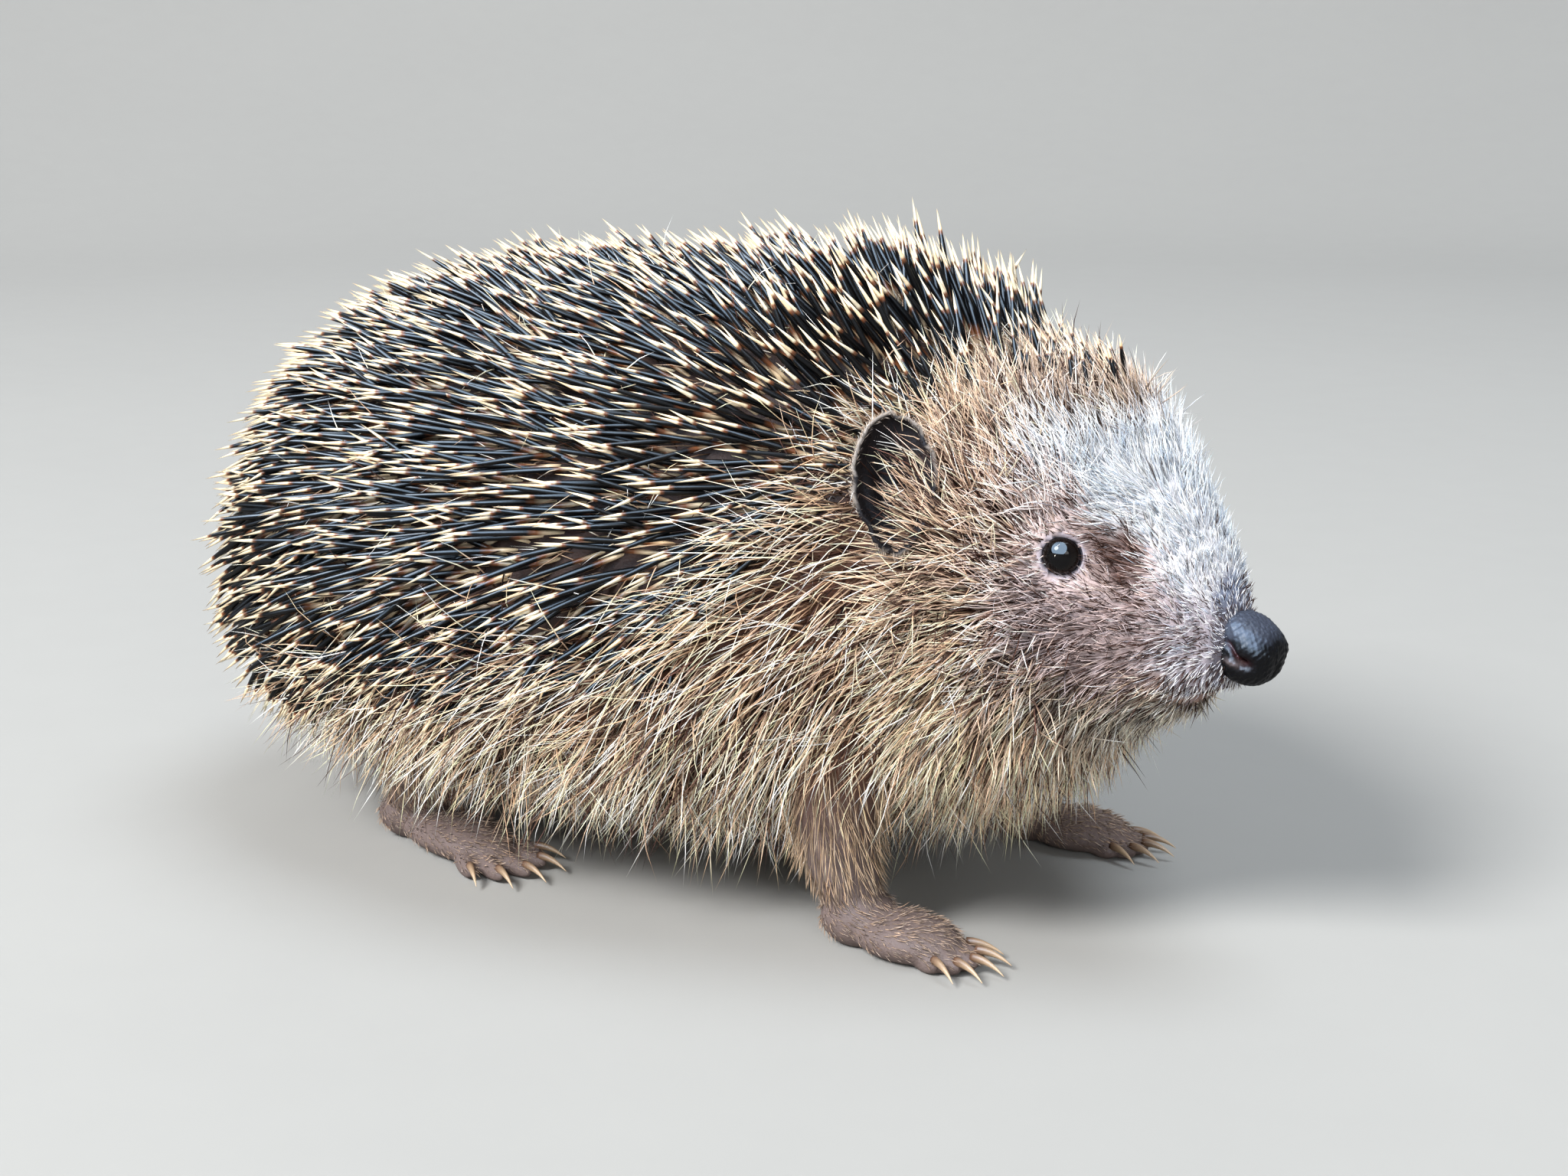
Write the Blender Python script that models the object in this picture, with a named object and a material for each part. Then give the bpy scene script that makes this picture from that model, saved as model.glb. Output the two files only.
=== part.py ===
"""A European hedgehog, life size, standing alert with its head turned a little to its right.

The solid pieces of a still museum model. The solids reach out to the tips of the spines and
the hair, so they give the animal's true outline from every side. The body is one loft from
rump to muzzle, parted by thin gaps into rump, trunk, neck, head and lower jaw; eyes, ears,
nose, legs, feet, tail and claws are pieces of their own. Nothing moves.

Frame: metres, +Z up, +X where the body points, -Y its right side. The four soles rest on
Z = 0, and the origin is under the middle of the model.
"""
import math
from collections import namedtuple

import bpy
import bmesh
import numpy as np
from mathutils import Matrix, Vector

# ---- Driving dimensions ---------------------------------------------------------------------
LENGTH = 0.222          # rump to muzzle, along the body, out to the coat
HEIGHT = 0.120          # floor to the tips of the spines on the back
WIDTH = 0.130           # across the flanks, out to the tips of the coat
GAP = 0.0003            # kept between pieces that touch
HEAD_TURN = math.radians(-7)    # the head is turned a little to the animal's right
TURN_START = 0.535      # where the neck's bend begins and ends, as shares of LENGTH
TURN_END = 0.665

EYE_DIAMETER = 0.0072
EAR_HEIGHT = 0.0235
EAR_BREADTH = 0.0150
NOSE_WIDTH = 0.0112
TOES = 5

BODY_SIDES = 36         # points round the body
RINGS_PER_STATION = 2

# ---- The body's stations --------------------------------------------------------------------
# at: share of LENGTH from the rump; half_width: share of half WIDTH; top and bottom: shares of
# HEIGHT; crest: how far up between bottom and top the body is widest; square: the exponent of
# the section's curve, 2 for an ellipse and more for a fuller shape.
Station = namedtuple("Station", "name at half_width top bottom crest square")
STATIONS = (
    Station("rump_end", 0.000, 0.16, 0.42, 0.25, 0.45, 2.0),
    Station("rump_cap", 0.012, 0.38, 0.54, 0.16, 0.45, 2.0),
    Station("rump", 0.042, 0.58, 0.68, 0.098, 0.43, 2.0),
    Station("haunch", 0.107, 0.78, 0.81, 0.070, 0.40, 2.1),
    Station("loin", 0.212, 0.93, 0.910, 0.068, 0.38, 2.2),
    Station("mid_back", 0.333, 1.00, 0.950, 0.068, 0.38, 2.2),
    Station("ribs", 0.454, 0.98, 0.962, 0.073, 0.38, 2.2),
    Station("shoulder", 0.565, 0.90, 0.988, 0.078, 0.38, 2.1),
    Station("neck", 0.645, 0.79, 0.965, 0.083, 0.40, 2.1),
    Station("ears", 0.722, 0.66, 0.905, 0.125, 0.42, 2.0),
    Station("brow", 0.803, 0.47, 0.860, 0.220, 0.42, 2.0),
    Station("eyes", 0.868, 0.315, 0.815, 0.315, 0.42, 2.0),
    Station("muzzle_root", 0.913, 0.215, 0.720, 0.350, 0.42, 2.0),
    Station("muzzle", 0.948, 0.150, 0.602, 0.375, 0.45, 2.1),
    Station("muzzle_end", 0.970, 0.115, 0.545, 0.398, 0.48, 2.2),
)
PARTING = {             # where the body is parted, as shares of LENGTH
    "rump": (0.000, 0.215),
    "trunk": (0.215, 0.585),
    "neck": (0.585, 0.700),
    "head": (0.700, 0.970),
}
RING_ROOM = 0.004       # a ring this near a parting, as a share of LENGTH, is left out

# ---- Colours: colour, roughness -------------------------------------------------------------
SPINES = ((0.16, 0.13, 0.10, 1.0), 0.55)
HAIR = ((0.52, 0.37, 0.23, 1.0), 0.85)
FACE = ((0.42, 0.31, 0.25, 1.0), 0.80)
EAR_SKIN = ((0.09, 0.07, 0.06, 1.0), 0.70)
EYE_BLACK = ((0.008, 0.007, 0.007, 1.0), 0.08)
NOSE_LEATHER = ((0.025, 0.022, 0.024, 1.0), 0.35)
FOOT_SKIN = ((0.30, 0.20, 0.16, 1.0), 0.65)
CLAW_HORN = ((0.33, 0.24, 0.17, 1.0), 0.40)


# ---- Frame helpers --------------------------------------------------------------------------
def along(share):
    """The straight body's X for a share of LENGTH measured from the rump."""
    return (share - 0.5) * LENGTH


def turned(point):
    """A point of the straight body, carried round the neck's bend to where it really is."""
    x, y, z = point
    start, end = along(TURN_START), along(TURN_END)
    radius = (end - start) / HEAD_TURN
    angle = HEAD_TURN * min(max((x - start) / (end - start), 0.0), 1.0)
    past = max(x - end, 0.0) + min(x - start, 0.0)
    return Vector((
        start + (radius - y) * math.sin(angle) + past * math.cos(angle),
        radius - (radius - y) * math.cos(angle) + past * math.sin(angle),
        z,
    ))


def head_rotation(pitch=0.0, yaw=0.0, roll=0.0):
    """The turn of a piece of the head: its own pitch, yaw and roll, then the head's turn."""
    own = Matrix.Rotation(yaw, 3, "Z") @ Matrix.Rotation(pitch, 3, "Y") @ Matrix.Rotation(roll, 3, "X")
    return (Matrix.Rotation(HEAD_TURN, 3, "Z") @ own).to_euler()


def station_at(share):
    """The body's section at a share of LENGTH: the stations joined by a smooth curve."""
    knots = np.array([s.at for s in STATIONS])
    values = np.array([s[1:] for s in STATIONS])
    slopes = np.gradient(values, knots, axis=0)
    i = int(np.clip(np.searchsorted(knots, share) - 1, 0, len(knots) - 2))
    step = knots[i + 1] - knots[i]
    t = (share - knots[i]) / step
    blend = (
        (2 * t**3 - 3 * t**2 + 1) * values[i] + (t**3 - 2 * t**2 + t) * step * slopes[i]
        + (3 * t**2 - 2 * t**3) * values[i + 1] + (t**3 - t**2) * step * slopes[i + 1]
    )
    return Station("", *blend)


def body_ring(share, grow=0.0):
    """The points of the body's section at a share of LENGTH, grown outwards by a distance."""
    s = station_at(share)
    half_width = s.half_width * WIDTH / 2 + grow
    top, bottom = s.top * HEIGHT + grow, s.bottom * HEIGHT - grow
    middle = bottom + s.crest * (top - bottom)
    ring = []
    for i in range(BODY_SIDES):
        angle = 2 * math.pi * i / BODY_SIDES
        c, n = math.cos(angle), math.sin(angle)
        y = half_width * math.copysign(abs(c) ** (2 / s.square), c)
        reach = (top - middle) if n > 0 else (middle - bottom)
        z = middle + reach * math.copysign(abs(n) ** (2 / s.square), n)
        ring.append((along(share), y, z))
    return ring


# ---- Making meshes and objects --------------------------------------------------------------
def collection(name):
    group = bpy.data.collections.new(name)
    bpy.context.scene.collection.children.link(group)
    return group


def material(name, look):
    colour, roughness = look
    made = bpy.data.materials.new(name)
    made.use_nodes = True
    shader = made.node_tree.nodes["Principled BSDF"]
    shader.inputs["Base Color"].default_value = colour
    shader.inputs["Roughness"].default_value = roughness
    shader.inputs["Metallic"].default_value = 0.0
    return made


def into(group, obj):
    """Moves an object into a collection and out of every other."""
    for other in list(obj.users_collection):
        other.objects.unlink(obj)
    group.objects.link(obj)
    return obj


def finish(obj, look):
    """Gives a piece its own material and shades it smooth, with its sharp edges kept."""
    obj.data.materials.clear()
    obj.data.materials.append(material(obj.name, look))
    obj.data.shade_smooth()
    obj.data.set_sharp_from_angle(angle=math.radians(40))
    return into(PARTS, obj)


def as_cutter(obj):
    obj.hide_render = True
    obj.display_type = "WIRE"
    return into(CUTTERS, obj)


def combine(obj, other, operation):
    """Adds a Boolean modifier: DIFFERENCE, INTERSECT or UNION with the other object."""
    modifier = obj.modifiers.new(other.name, "BOOLEAN")
    modifier.operation = operation
    modifier.solver = "EXACT"
    modifier.object = other


def loft(name, rings):
    """A closed mesh through rings of the same number of points, with a flat face at each end."""
    made = bmesh.new()
    rows = [[made.verts.new(point) for point in ring] for ring in rings]
    count = len(rows[0])
    for lower, upper in zip(rows, rows[1:]):
        for i in range(count):
            j = (i + 1) % count
            made.faces.new((lower[i], lower[j], upper[j], upper[i]))
    made.faces.new(rows[0][::-1])
    made.faces.new(rows[-1])
    bmesh.ops.recalc_face_normals(made, faces=made.faces)
    mesh = bpy.data.meshes.new(name)
    made.to_mesh(mesh)
    made.free()
    obj = bpy.data.objects.new(name, mesh)
    bpy.context.scene.collection.objects.link(obj)
    return obj


def ball(name, centre, radii, rotation=(0, 0, 0), segments=16, rings=10):
    """An ellipsoid from a UV sphere, with its pole along its own Z."""
    bpy.ops.mesh.primitive_uv_sphere_add(segments=segments, ring_count=rings, radius=1.0)
    obj = bpy.context.object
    obj.name = obj.data.name = name
    obj.data.transform(Matrix.Diagonal((*radii, 1)))
    obj.location = centre
    obj.rotation_euler = rotation
    return obj


def block(name, low, high):
    """A box between two corners."""
    bpy.ops.mesh.primitive_cube_add(size=1.0)
    obj = bpy.context.object
    obj.name = obj.data.name = name
    obj.data.transform(Matrix.Diagonal((*(b - a for a, b in zip(low, high)), 1)))
    obj.location = [(a + b) / 2 for a, b in zip(low, high)]
    return obj


def cone(name, base, tip, radius, sides=6):
    """A cone from the middle of its base to its tip."""
    base, tip = Vector(base), Vector(tip)
    bpy.ops.mesh.primitive_cone_add(vertices=sides, radius1=radius, radius2=radius * 0.12,
                                    depth=(tip - base).length)
    obj = bpy.context.object
    obj.name = obj.data.name = name
    obj.location = (base + tip) / 2
    obj.rotation_euler = (tip - base).to_track_quat("Z", "X").to_euler()
    return obj


# ---- The body -------------------------------------------------------------------------------
def body_shares(start, end):
    """The shares of LENGTH between two partings where the loft has a ring."""
    knots = [s.at for s in STATIONS]
    fine = [a + (b - a) * i / RINGS_PER_STATION
            for a, b in zip(knots, knots[1:]) for i in range(RINGS_PER_STATION)]
    inner = [share for share in fine + [knots[-1]]
             if start + RING_ROOM < share < end - RING_ROOM]
    return [start] + inner + [end]


def body_piece(name, start, end, grow=0.0):
    """The stretch of the body between two shares of LENGTH."""
    rings = [[turned(p) for p in body_ring(share, grow)] for share in body_shares(start, end)]
    return loft(name, rings)


def make_body():
    """Rump, trunk, neck and head: one shape, with a thin gap at each parting."""
    half_gap = GAP / 2 / LENGTH
    pieces = {}
    for name, (start, end) in PARTING.items():
        first, last = start == 0.0, end == STATIONS[-1].at
        pieces[name] = body_piece(name, start + (0 if first else half_gap),
                                  end - (0 if last else half_gap))
    finish(pieces["rump"], SPINES)
    finish(pieces["trunk"], SPINES)
    finish(pieces["neck"], HAIR)
    finish(pieces["head"], FACE)
    return pieces


def make_grown_body():
    """The whole body grown by the gap: what cuts the pieces that lie against it."""
    return as_cutter(body_piece("body_grown", 0.0, STATIONS[-1].at, grow=GAP))


# ---- The head -------------------------------------------------------------------------------
JAW_HINGE_AT = 0.875    # the jaw reaches back to below the eye
MOUTH_HEIGHT = 0.408    # the mouth line at the lips, share of HEIGHT
MOUTH_TILT = math.radians(4)
JAW_BACK_AT = 0.750     # where the jaw's own loft starts and ends, as shares of LENGTH
JAW_FRONT_AT = 0.958
JAW_BLOCK_REACH = 0.030     # half the width of the block that parts the jaw
JAW_BLOCK_FRONT_AT = 1.02


def make_jaw(head):
    """The lower jaw: the part of the muzzle below the mouth line, cut from the head."""
    def below_mouth(name, grow):
        low = (along(JAW_HINGE_AT) - grow, -JAW_BLOCK_REACH, 0.0)
        high = (along(JAW_BLOCK_FRONT_AT), JAW_BLOCK_REACH, MOUTH_HEIGHT * HEIGHT + grow)
        box = block(name, low, high)
        box.location = turned(box.location)
        box.rotation_euler = head_rotation(pitch=MOUTH_TILT)
        return as_cutter(box)

    jaw = body_piece("lower_jaw", JAW_BACK_AT, JAW_FRONT_AT)
    combine(jaw, below_mouth("jaw_block", 0.0), "INTERSECT")
    combine(head, below_mouth("jaw_block_grown", GAP), "DIFFERENCE")
    return finish(jaw, FACE)


EYE_AT = 0.8615
EYE_HEIGHT = 0.587      # share of HEIGHT
EYE_SIDE = 0.0168       # from the head's middle plane to the eye's centre
EYE_YAW = math.radians(68)      # the way an eye faces, from straight ahead
EYE_HOLLOW = (0.0052, 0.0052, 0.0026)   # the dish of short fur round the eye
EYE_HOLLOW_OUT = 0.0042


def make_eyes(head):
    """Two bead eyes, each in a round socket of the head."""
    for side, sign in (("right", -1), ("left", 1)):
        centre = turned((along(EYE_AT), sign * EYE_SIDE, EYE_HEIGHT * HEIGHT))
        facing = head_rotation(pitch=math.pi / 2, yaw=sign * EYE_YAW)
        radius = EYE_DIAMETER / 2
        finish(ball("eye_" + side, centre, [radius] * 3, facing, 16, 10), EYE_BLACK)
        socket = ball("socket_" + side, centre, [radius + GAP] * 3, facing, 16, 10)
        outwards = facing.to_matrix() @ Vector((0, 0, EYE_HOLLOW_OUT))
        hollow = ball("eye_hollow_" + side, centre + outwards, EYE_HOLLOW, facing, 16, 10)
        for cutter in (socket, hollow):
            combine(head, as_cutter(cutter), "DIFFERENCE")


EAR_AT = 0.766
EAR_Z = 0.676           # share of HEIGHT
EAR_SIDE = 0.0318       # from the head's middle plane to the ear's middle
EAR_DEPTH = 0.0116
EAR_WALL = 0.0016
EAR_YAW = math.radians(38)      # the way an ear's cup faces, from straight ahead
EAR_PITCH = math.radians(-12)
EAR_HOLLOW_OUT = 0.0035         # how far the hollow's middle stands before the ear's
EAR_RIM_OUT = 0.0015            # the rim's plane, before the ear's middle


def make_ears(grown_body):
    """Two cupped ears: an ellipsoid hollowed from the front, cut to the side of the head."""
    for side, sign in (("right", -1), ("left", 1)):
        centre = turned((along(EAR_AT), sign * EAR_SIDE, EAR_Z * HEIGHT))
        turn = head_rotation(pitch=EAR_PITCH, yaw=sign * EAR_YAW)
        radii = (EAR_DEPTH / 2, EAR_BREADTH / 2, EAR_HEIGHT / 2)
        ear = ball("ear_" + side, centre, radii, turn, 16, 12)
        inner = [r - EAR_WALL for r in radii]
        opening = turn.to_matrix() @ Vector((EAR_HOLLOW_OUT, 0, 0))
        hollow = ball("ear_hollow_" + side, centre + opening, inner, turn, 16, 12)
        front = block("ear_front_" + side, [-EAR_HEIGHT] * 3, [EAR_HEIGHT] * 3)
        front.location = centre + turn.to_matrix() @ Vector((EAR_RIM_OUT + EAR_HEIGHT, 0, 0))
        front.rotation_euler = turn
        for cutter in (hollow, front):
            combine(ear, as_cutter(cutter), "DIFFERENCE")
        combine(ear, grown_body, "DIFFERENCE")
        finish(ear, EAR_SKIN)


NOSE_AT = 0.9735
NOSE_HEIGHT = 0.4625    # share of HEIGHT
NOSE_DEPTH = 0.0110
NOSE_TALL = 0.0104
NOSE_PITCH = math.radians(14)


def make_nose(head, jaw):
    """The bare nose pad at the tip of the muzzle, let into the head's end."""
    centre = turned((along(NOSE_AT), 0, NOSE_HEIGHT * HEIGHT))
    radii = (NOSE_DEPTH / 2, NOSE_WIDTH / 2, NOSE_TALL / 2)
    turn = head_rotation(pitch=NOSE_PITCH)
    finish(ball("nose", centre, radii, turn, 18, 12), NOSE_LEATHER)
    grown = ball("nose_grown", centre, [r + GAP for r in radii], turn, 18, 12)
    as_cutter(grown)
    combine(head, grown, "DIFFERENCE")
    combine(jaw, grown, "DIFFERENCE")


# ---- Legs, feet and claws -------------------------------------------------------------------
# hip: where the leg leaves the body; ankle: where the heel or the wrist stands; aim: the way the
# toes point, from +X to the animal's outer side; thickness: the leg's radius at the hip, the
# knee and the ankle. All in metres, for either side.
Limb = namedtuple("Limb", "name hip knee ankle aim foot_length foot_width thickness")
LIMBS = (
    Limb("front", (0.043, 0.026, 0.036), (0.036, 0.032, 0.022), (0.045, 0.031, 0.0055),
         math.radians(4), 0.027, 0.0155, (0.0115, 0.0090, 0.0056)),
    Limb("hind", (-0.054, 0.030, 0.036), (-0.040, 0.038, 0.026), (-0.055, 0.034, 0.0055),
         math.radians(12), 0.040, 0.0150, (0.0160, 0.0120, 0.0056)),
)
FOOT_HEIGHT = 0.0090    # from the sole to the top of the foot
HEEL = (0.0074, 0.0070, 0.0058)
LEG_STEPS = 8
FLOOR_SINK = 0.0016     # how much of each pad the flat sole cuts away
TOE_SPREAD = math.radians(26)
TOE_RADIUS = 0.0021
CLAW_LENGTH = 0.0062
CLAW_RADIUS = 0.00085
CLAW_ROOT_Z = 0.0026
CLAW_TIP_Z = 0.0012
CLAW_ROOT_IN = 0.82     # where in its toe a claw starts, as a share of the toe's half length
PALM_REACH = 0.36       # from the ankle to the palm's middle, as a share of the foot's length
PALM_HALF = 0.40        # half the palm's length, as a share of the foot's
TOE_ROOT = 0.9          # where the toes' rays start, as a share of the palm's reach
TOE_REACH = 0.94        # where the longest toe ends, as a share of the foot's length
TOE_SHORTER = 0.22      # how much shorter the outer toes are than the middle one
TOE_MIDDLE = 0.72       # a toe's middle and half length, as shares of its ray
TOE_HALF = 0.36
TOE_TALL = 1.05         # a toe's height over its width
TOE_SINK = 0.5          # a toe's share of FLOOR_SINK


def limb_ring(centre, forward, radius, sides=12):
    """A ring of points square to a limb's middle line."""
    side = (Vector((0, 1, 0)) - forward * forward.y).normalized()
    other = forward.cross(side)
    angles = (2 * math.pi * i / sides for i in range(sides))
    return [centre + radius * (math.cos(a) * side + math.sin(a) * other) for a in angles]


def make_leg(limb, sign, foot_grown, grown_body):
    """A leg from the body's underside to the foot: a tapering loft down a bent middle line."""
    hip, knee, ankle = (Vector((x, sign * y, z)) for x, y, z in (limb.hip, limb.knee, limb.ankle))
    thick, middle, thin = limb.thickness
    rings = []
    for i in range(LEG_STEPS + 1):
        t = i / LEG_STEPS
        weights = ((1 - t) ** 2, 2 * t * (1 - t), t**2)
        centre = weights[0] * hip + weights[1] * knee + weights[2] * ankle
        down = ((1 - t) * (knee - hip) + t * (ankle - knee)).normalized()
        radius = weights[0] * thick + weights[1] * middle + weights[2] * thin
        rings.append(limb_ring(centre, down, radius))
    side = "right" if sign < 0 else "left"
    leg = loft(f"{limb.name}_leg_{side}", rings)
    combine(leg, grown_body, "DIFFERENCE")
    combine(leg, foot_grown, "DIFFERENCE")
    return finish(leg, HAIR)


def foot_balls(limb, sign):
    """The foot's rounded masses as (name, centre, radii, turn): heel, palm and five toes."""
    ankle = Vector((limb.ankle[0], sign * limb.ankle[1], 0.0))
    heading = Vector((math.cos(limb.aim), sign * math.sin(limb.aim), 0.0))
    yaw = math.atan2(heading.y, heading.x)
    length, width = limb.foot_length, limb.foot_width
    tall = FOOT_HEIGHT / 2
    palm_reach = length * PALM_REACH
    masses = [
        ("palm", ankle + heading * palm_reach, (length * PALM_HALF, width / 2, tall), yaw, 14, 8),
        ("heel", ankle, HEEL, yaw, 12, 8),
    ]
    root = ankle + heading * (palm_reach * TOE_ROOT)
    reach = length * TOE_REACH - palm_reach * TOE_ROOT - TOE_RADIUS
    for i in range(TOES):
        share = i / (TOES - 1) * 2 - 1                  # -1 for the inner toe, 1 for the outer
        turn = yaw + sign * share * TOE_SPREAD
        ray = Vector((math.cos(turn), math.sin(turn), 0.0))
        stretch = reach * (1.0 - TOE_SHORTER * share * share)
        centre = root + ray * (stretch * TOE_MIDDLE)
        radii = (stretch * TOE_HALF, TOE_RADIUS, TOE_RADIUS * TOE_TALL)
        masses.append((f"toe_{i + 1}", centre, radii, turn, 8, 6))
    return masses


def foot_mass(prefix, mass, grow):
    name, centre, radii, turn, segments, rings = mass
    lift = radii[2] - FLOOR_SINK * (TOE_SINK if name.startswith("toe") else 1.0)
    place = Vector((centre.x, centre.y, lift))
    return ball(f"{prefix}_{name}", place, [r + grow for r in radii], (0, 0, turn), segments, rings)


def make_foot(limb, sign, floor_block):
    """A flat-soled foot: palm and toes in one solid, cut level with the floor."""
    side = "right" if sign < 0 else "left"
    name = f"{limb.name}_foot_{side}"
    masses = foot_balls(limb, sign)
    foot = foot_mass(name, masses[0], 0.0)
    foot.name = foot.data.name = name
    grown = foot_mass(name + "_grown", masses[0], GAP)
    for mass in masses[1:]:
        combine(foot, as_cutter(foot_mass(name, mass, 0.0)), "UNION")
        combine(grown, as_cutter(foot_mass(name + "_grown", mass, GAP)), "UNION")
    combine(foot, floor_block, "DIFFERENCE")
    finish(foot, FOOT_SKIN)
    as_cutter(grown)
    toes = [mass for mass in masses if mass[0].startswith("toe")]
    for index, mass in enumerate(toes, 1):
        make_claw(f"claw_{limb.name}_{side}_{index}", mass, grown)
    return foot, grown


def make_claw(name, mass, foot_grown):
    """A short claw that leaves the toe's tip and slopes to just above the floor."""
    _, centre, radii, turn, _, _ = mass
    ray = Vector((math.cos(turn), math.sin(turn), 0.0))
    start = Vector((centre.x, centre.y, CLAW_ROOT_Z)) + ray * (radii[0] * CLAW_ROOT_IN)
    tip = Vector((start.x, start.y, CLAW_TIP_Z)) + ray * CLAW_LENGTH
    claw = cone(name, start, tip, CLAW_RADIUS)
    combine(claw, foot_grown, "DIFFERENCE")
    return finish(claw, CLAW_HORN)


def make_limbs(grown_body):
    floor_block = as_cutter(block("floor_block", (-LENGTH, -LENGTH, -HEIGHT), (LENGTH, LENGTH, 0.0)))
    for limb in LIMBS:
        for sign in (-1, 1):
            _, grown = make_foot(limb, sign, floor_block)
            make_leg(limb, sign, grown, grown_body)


# ---- Tail -----------------------------------------------------------------------------------
TAIL_ROOT = (-0.095, 0.0, 0.024)
TAIL_TIP = (-0.108, 0.0, 0.0080)
TAIL_RADIUS = 0.0042
TAIL_STEPS = 6
TAIL_TAPER = 0.94       # how much of the root's radius is gone at the tip


def make_tail(grown_body):
    """The short tail, low under the rump."""
    root, tip = Vector(TAIL_ROOT), Vector(TAIL_TIP)
    down = (tip - root).normalized()
    loops = []
    for i in range(TAIL_STEPS + 1):
        t = i / TAIL_STEPS
        radius = TAIL_RADIUS * math.sqrt(1 - (TAIL_TAPER * t) ** 2)
        loops.append(limb_ring(root + (tip - root) * t, down, radius))
    tail = loft("tail", loops)
    combine(tail, grown_body, "DIFFERENCE")
    return finish(tail, HAIR)


def main():
    pieces = make_body()
    grown_body = make_grown_body()
    jaw = make_jaw(pieces["head"])
    make_eyes(pieces["head"])
    make_nose(pieces["head"], jaw)
    make_ears(grown_body)
    make_limbs(grown_body)
    make_tail(grown_body)


for old in list(bpy.data.objects):
    bpy.data.objects.remove(old, do_unlink=True)
PARTS = collection("Hedgehog")
CUTTERS = collection("Cutters")
main()
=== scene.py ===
"""The looks of a life-size hedgehog: one skin, its coat of spines and hair, eyes, nose and claws.

Every place is worked out from the frame's box. The body is a surface over two parameters: the
share of its length from the rump, and the angle round its section. Edges given to smooth are in
shares of the length where the measure is called share, and of the height where it is level.
"""
import math
import typing

import bpy
import numpy as np
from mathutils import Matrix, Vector


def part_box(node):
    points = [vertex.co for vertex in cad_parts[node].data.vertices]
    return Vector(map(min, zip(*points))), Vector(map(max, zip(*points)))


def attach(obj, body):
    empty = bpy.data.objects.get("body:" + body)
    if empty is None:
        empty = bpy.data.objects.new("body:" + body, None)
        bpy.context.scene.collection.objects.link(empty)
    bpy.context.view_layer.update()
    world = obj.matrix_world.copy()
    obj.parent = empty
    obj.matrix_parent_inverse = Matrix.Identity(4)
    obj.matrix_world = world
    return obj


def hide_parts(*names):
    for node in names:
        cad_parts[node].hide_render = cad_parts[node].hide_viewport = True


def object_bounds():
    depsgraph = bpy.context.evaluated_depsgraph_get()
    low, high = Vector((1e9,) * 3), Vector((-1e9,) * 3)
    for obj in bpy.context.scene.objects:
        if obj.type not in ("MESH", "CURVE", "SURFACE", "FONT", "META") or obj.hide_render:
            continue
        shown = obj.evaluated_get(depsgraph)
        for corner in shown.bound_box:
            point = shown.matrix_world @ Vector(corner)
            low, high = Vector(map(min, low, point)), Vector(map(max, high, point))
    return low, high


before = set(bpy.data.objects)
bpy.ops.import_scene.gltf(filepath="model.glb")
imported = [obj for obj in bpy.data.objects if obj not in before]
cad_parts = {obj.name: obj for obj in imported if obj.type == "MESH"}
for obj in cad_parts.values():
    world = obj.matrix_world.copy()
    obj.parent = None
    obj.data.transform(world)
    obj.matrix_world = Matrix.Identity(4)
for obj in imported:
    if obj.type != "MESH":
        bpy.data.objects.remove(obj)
CAD_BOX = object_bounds()

bl_info = {
    "name": "Hedgehog model",
    "version": (1, 0, 0),
    "blender": (4, 5, 0),
    "location": "3D View > Sidebar > Hedgehog",
    "description": "Builds a life-size hedgehog with its spines and hair on a packed frame",
    "category": "Object",
}

# ---- The animal's plan, from the frame ------------------------------------------------------
LOW, HIGH = (np.array(corner) for corner in CAD_BOX)
BODY_LENGTH = -2 * LOW[0]       # rump to nose along the straight body
HALF_WIDTH = HIGH[1]
TALL = HIGH[2]
HEAD_TURN = math.radians(-7)    # the head is turned a little to the animal's right
TURN_START = 0.535              # the neck's bend, in shares of the length
TURN_END = 0.665
MM = 0.001
SIDES = (("right", -1), ("left", 1))    # each side, with the sign of its y

# The skin's sections, inside the solids by the coat's depth. at: share of the length from the
# rump; half_width: share of the half width; top, bottom: shares of the height; crest: where
# between bottom and top the section is widest; square: exponent of its curve.
SKIN_SECTIONS = np.array([
    # at, half_width, top, bottom, crest, square
    (0.030, 0.012, 0.400, 0.385, 0.45, 2.0),    # rump's end
    (0.034, 0.130, 0.455, 0.335, 0.45, 2.0),
    (0.046, 0.290, 0.540, 0.245, 0.45, 2.0),
    (0.074, 0.480, 0.650, 0.175, 0.43, 2.0),    # rump
    (0.130, 0.660, 0.752, 0.130, 0.40, 2.1),    # haunch
    (0.215, 0.785, 0.826, 0.112, 0.38, 2.2),    # loin
    (0.333, 0.845, 0.868, 0.110, 0.38, 2.2),    # middle of the back
    (0.454, 0.830, 0.877, 0.118, 0.38, 2.2),    # ribs
    (0.565, 0.755, 0.895, 0.130, 0.38, 2.1),    # shoulder
    (0.645, 0.645, 0.873, 0.160, 0.40, 2.1),    # neck
    (0.722, 0.545, 0.822, 0.205, 0.42, 2.0),    # ears
    (0.803, 0.423, 0.797, 0.265, 0.42, 2.0),    # brow
    (0.868, 0.293, 0.777, 0.335, 0.43, 2.0),    # eyes
    (0.913, 0.205, 0.692, 0.365, 0.44, 2.0),    # root of the muzzle
    (0.942, 0.148, 0.612, 0.380, 0.46, 2.1),    # muzzle
    (0.951, 0.119, 0.584, 0.386, 0.47, 2.2),    # muzzle's end, which runs up to the nose pad
    (0.956, 0.102, 0.564, 0.398, 0.48, 2.2),
    (0.961, 0.086, 0.541, 0.416, 0.50, 2.0),
    (0.965, 0.066, 0.520, 0.434, 0.50, 2.0),
    (0.968, 0.028, 0.492, 0.455, 0.50, 2.0),
])
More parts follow.
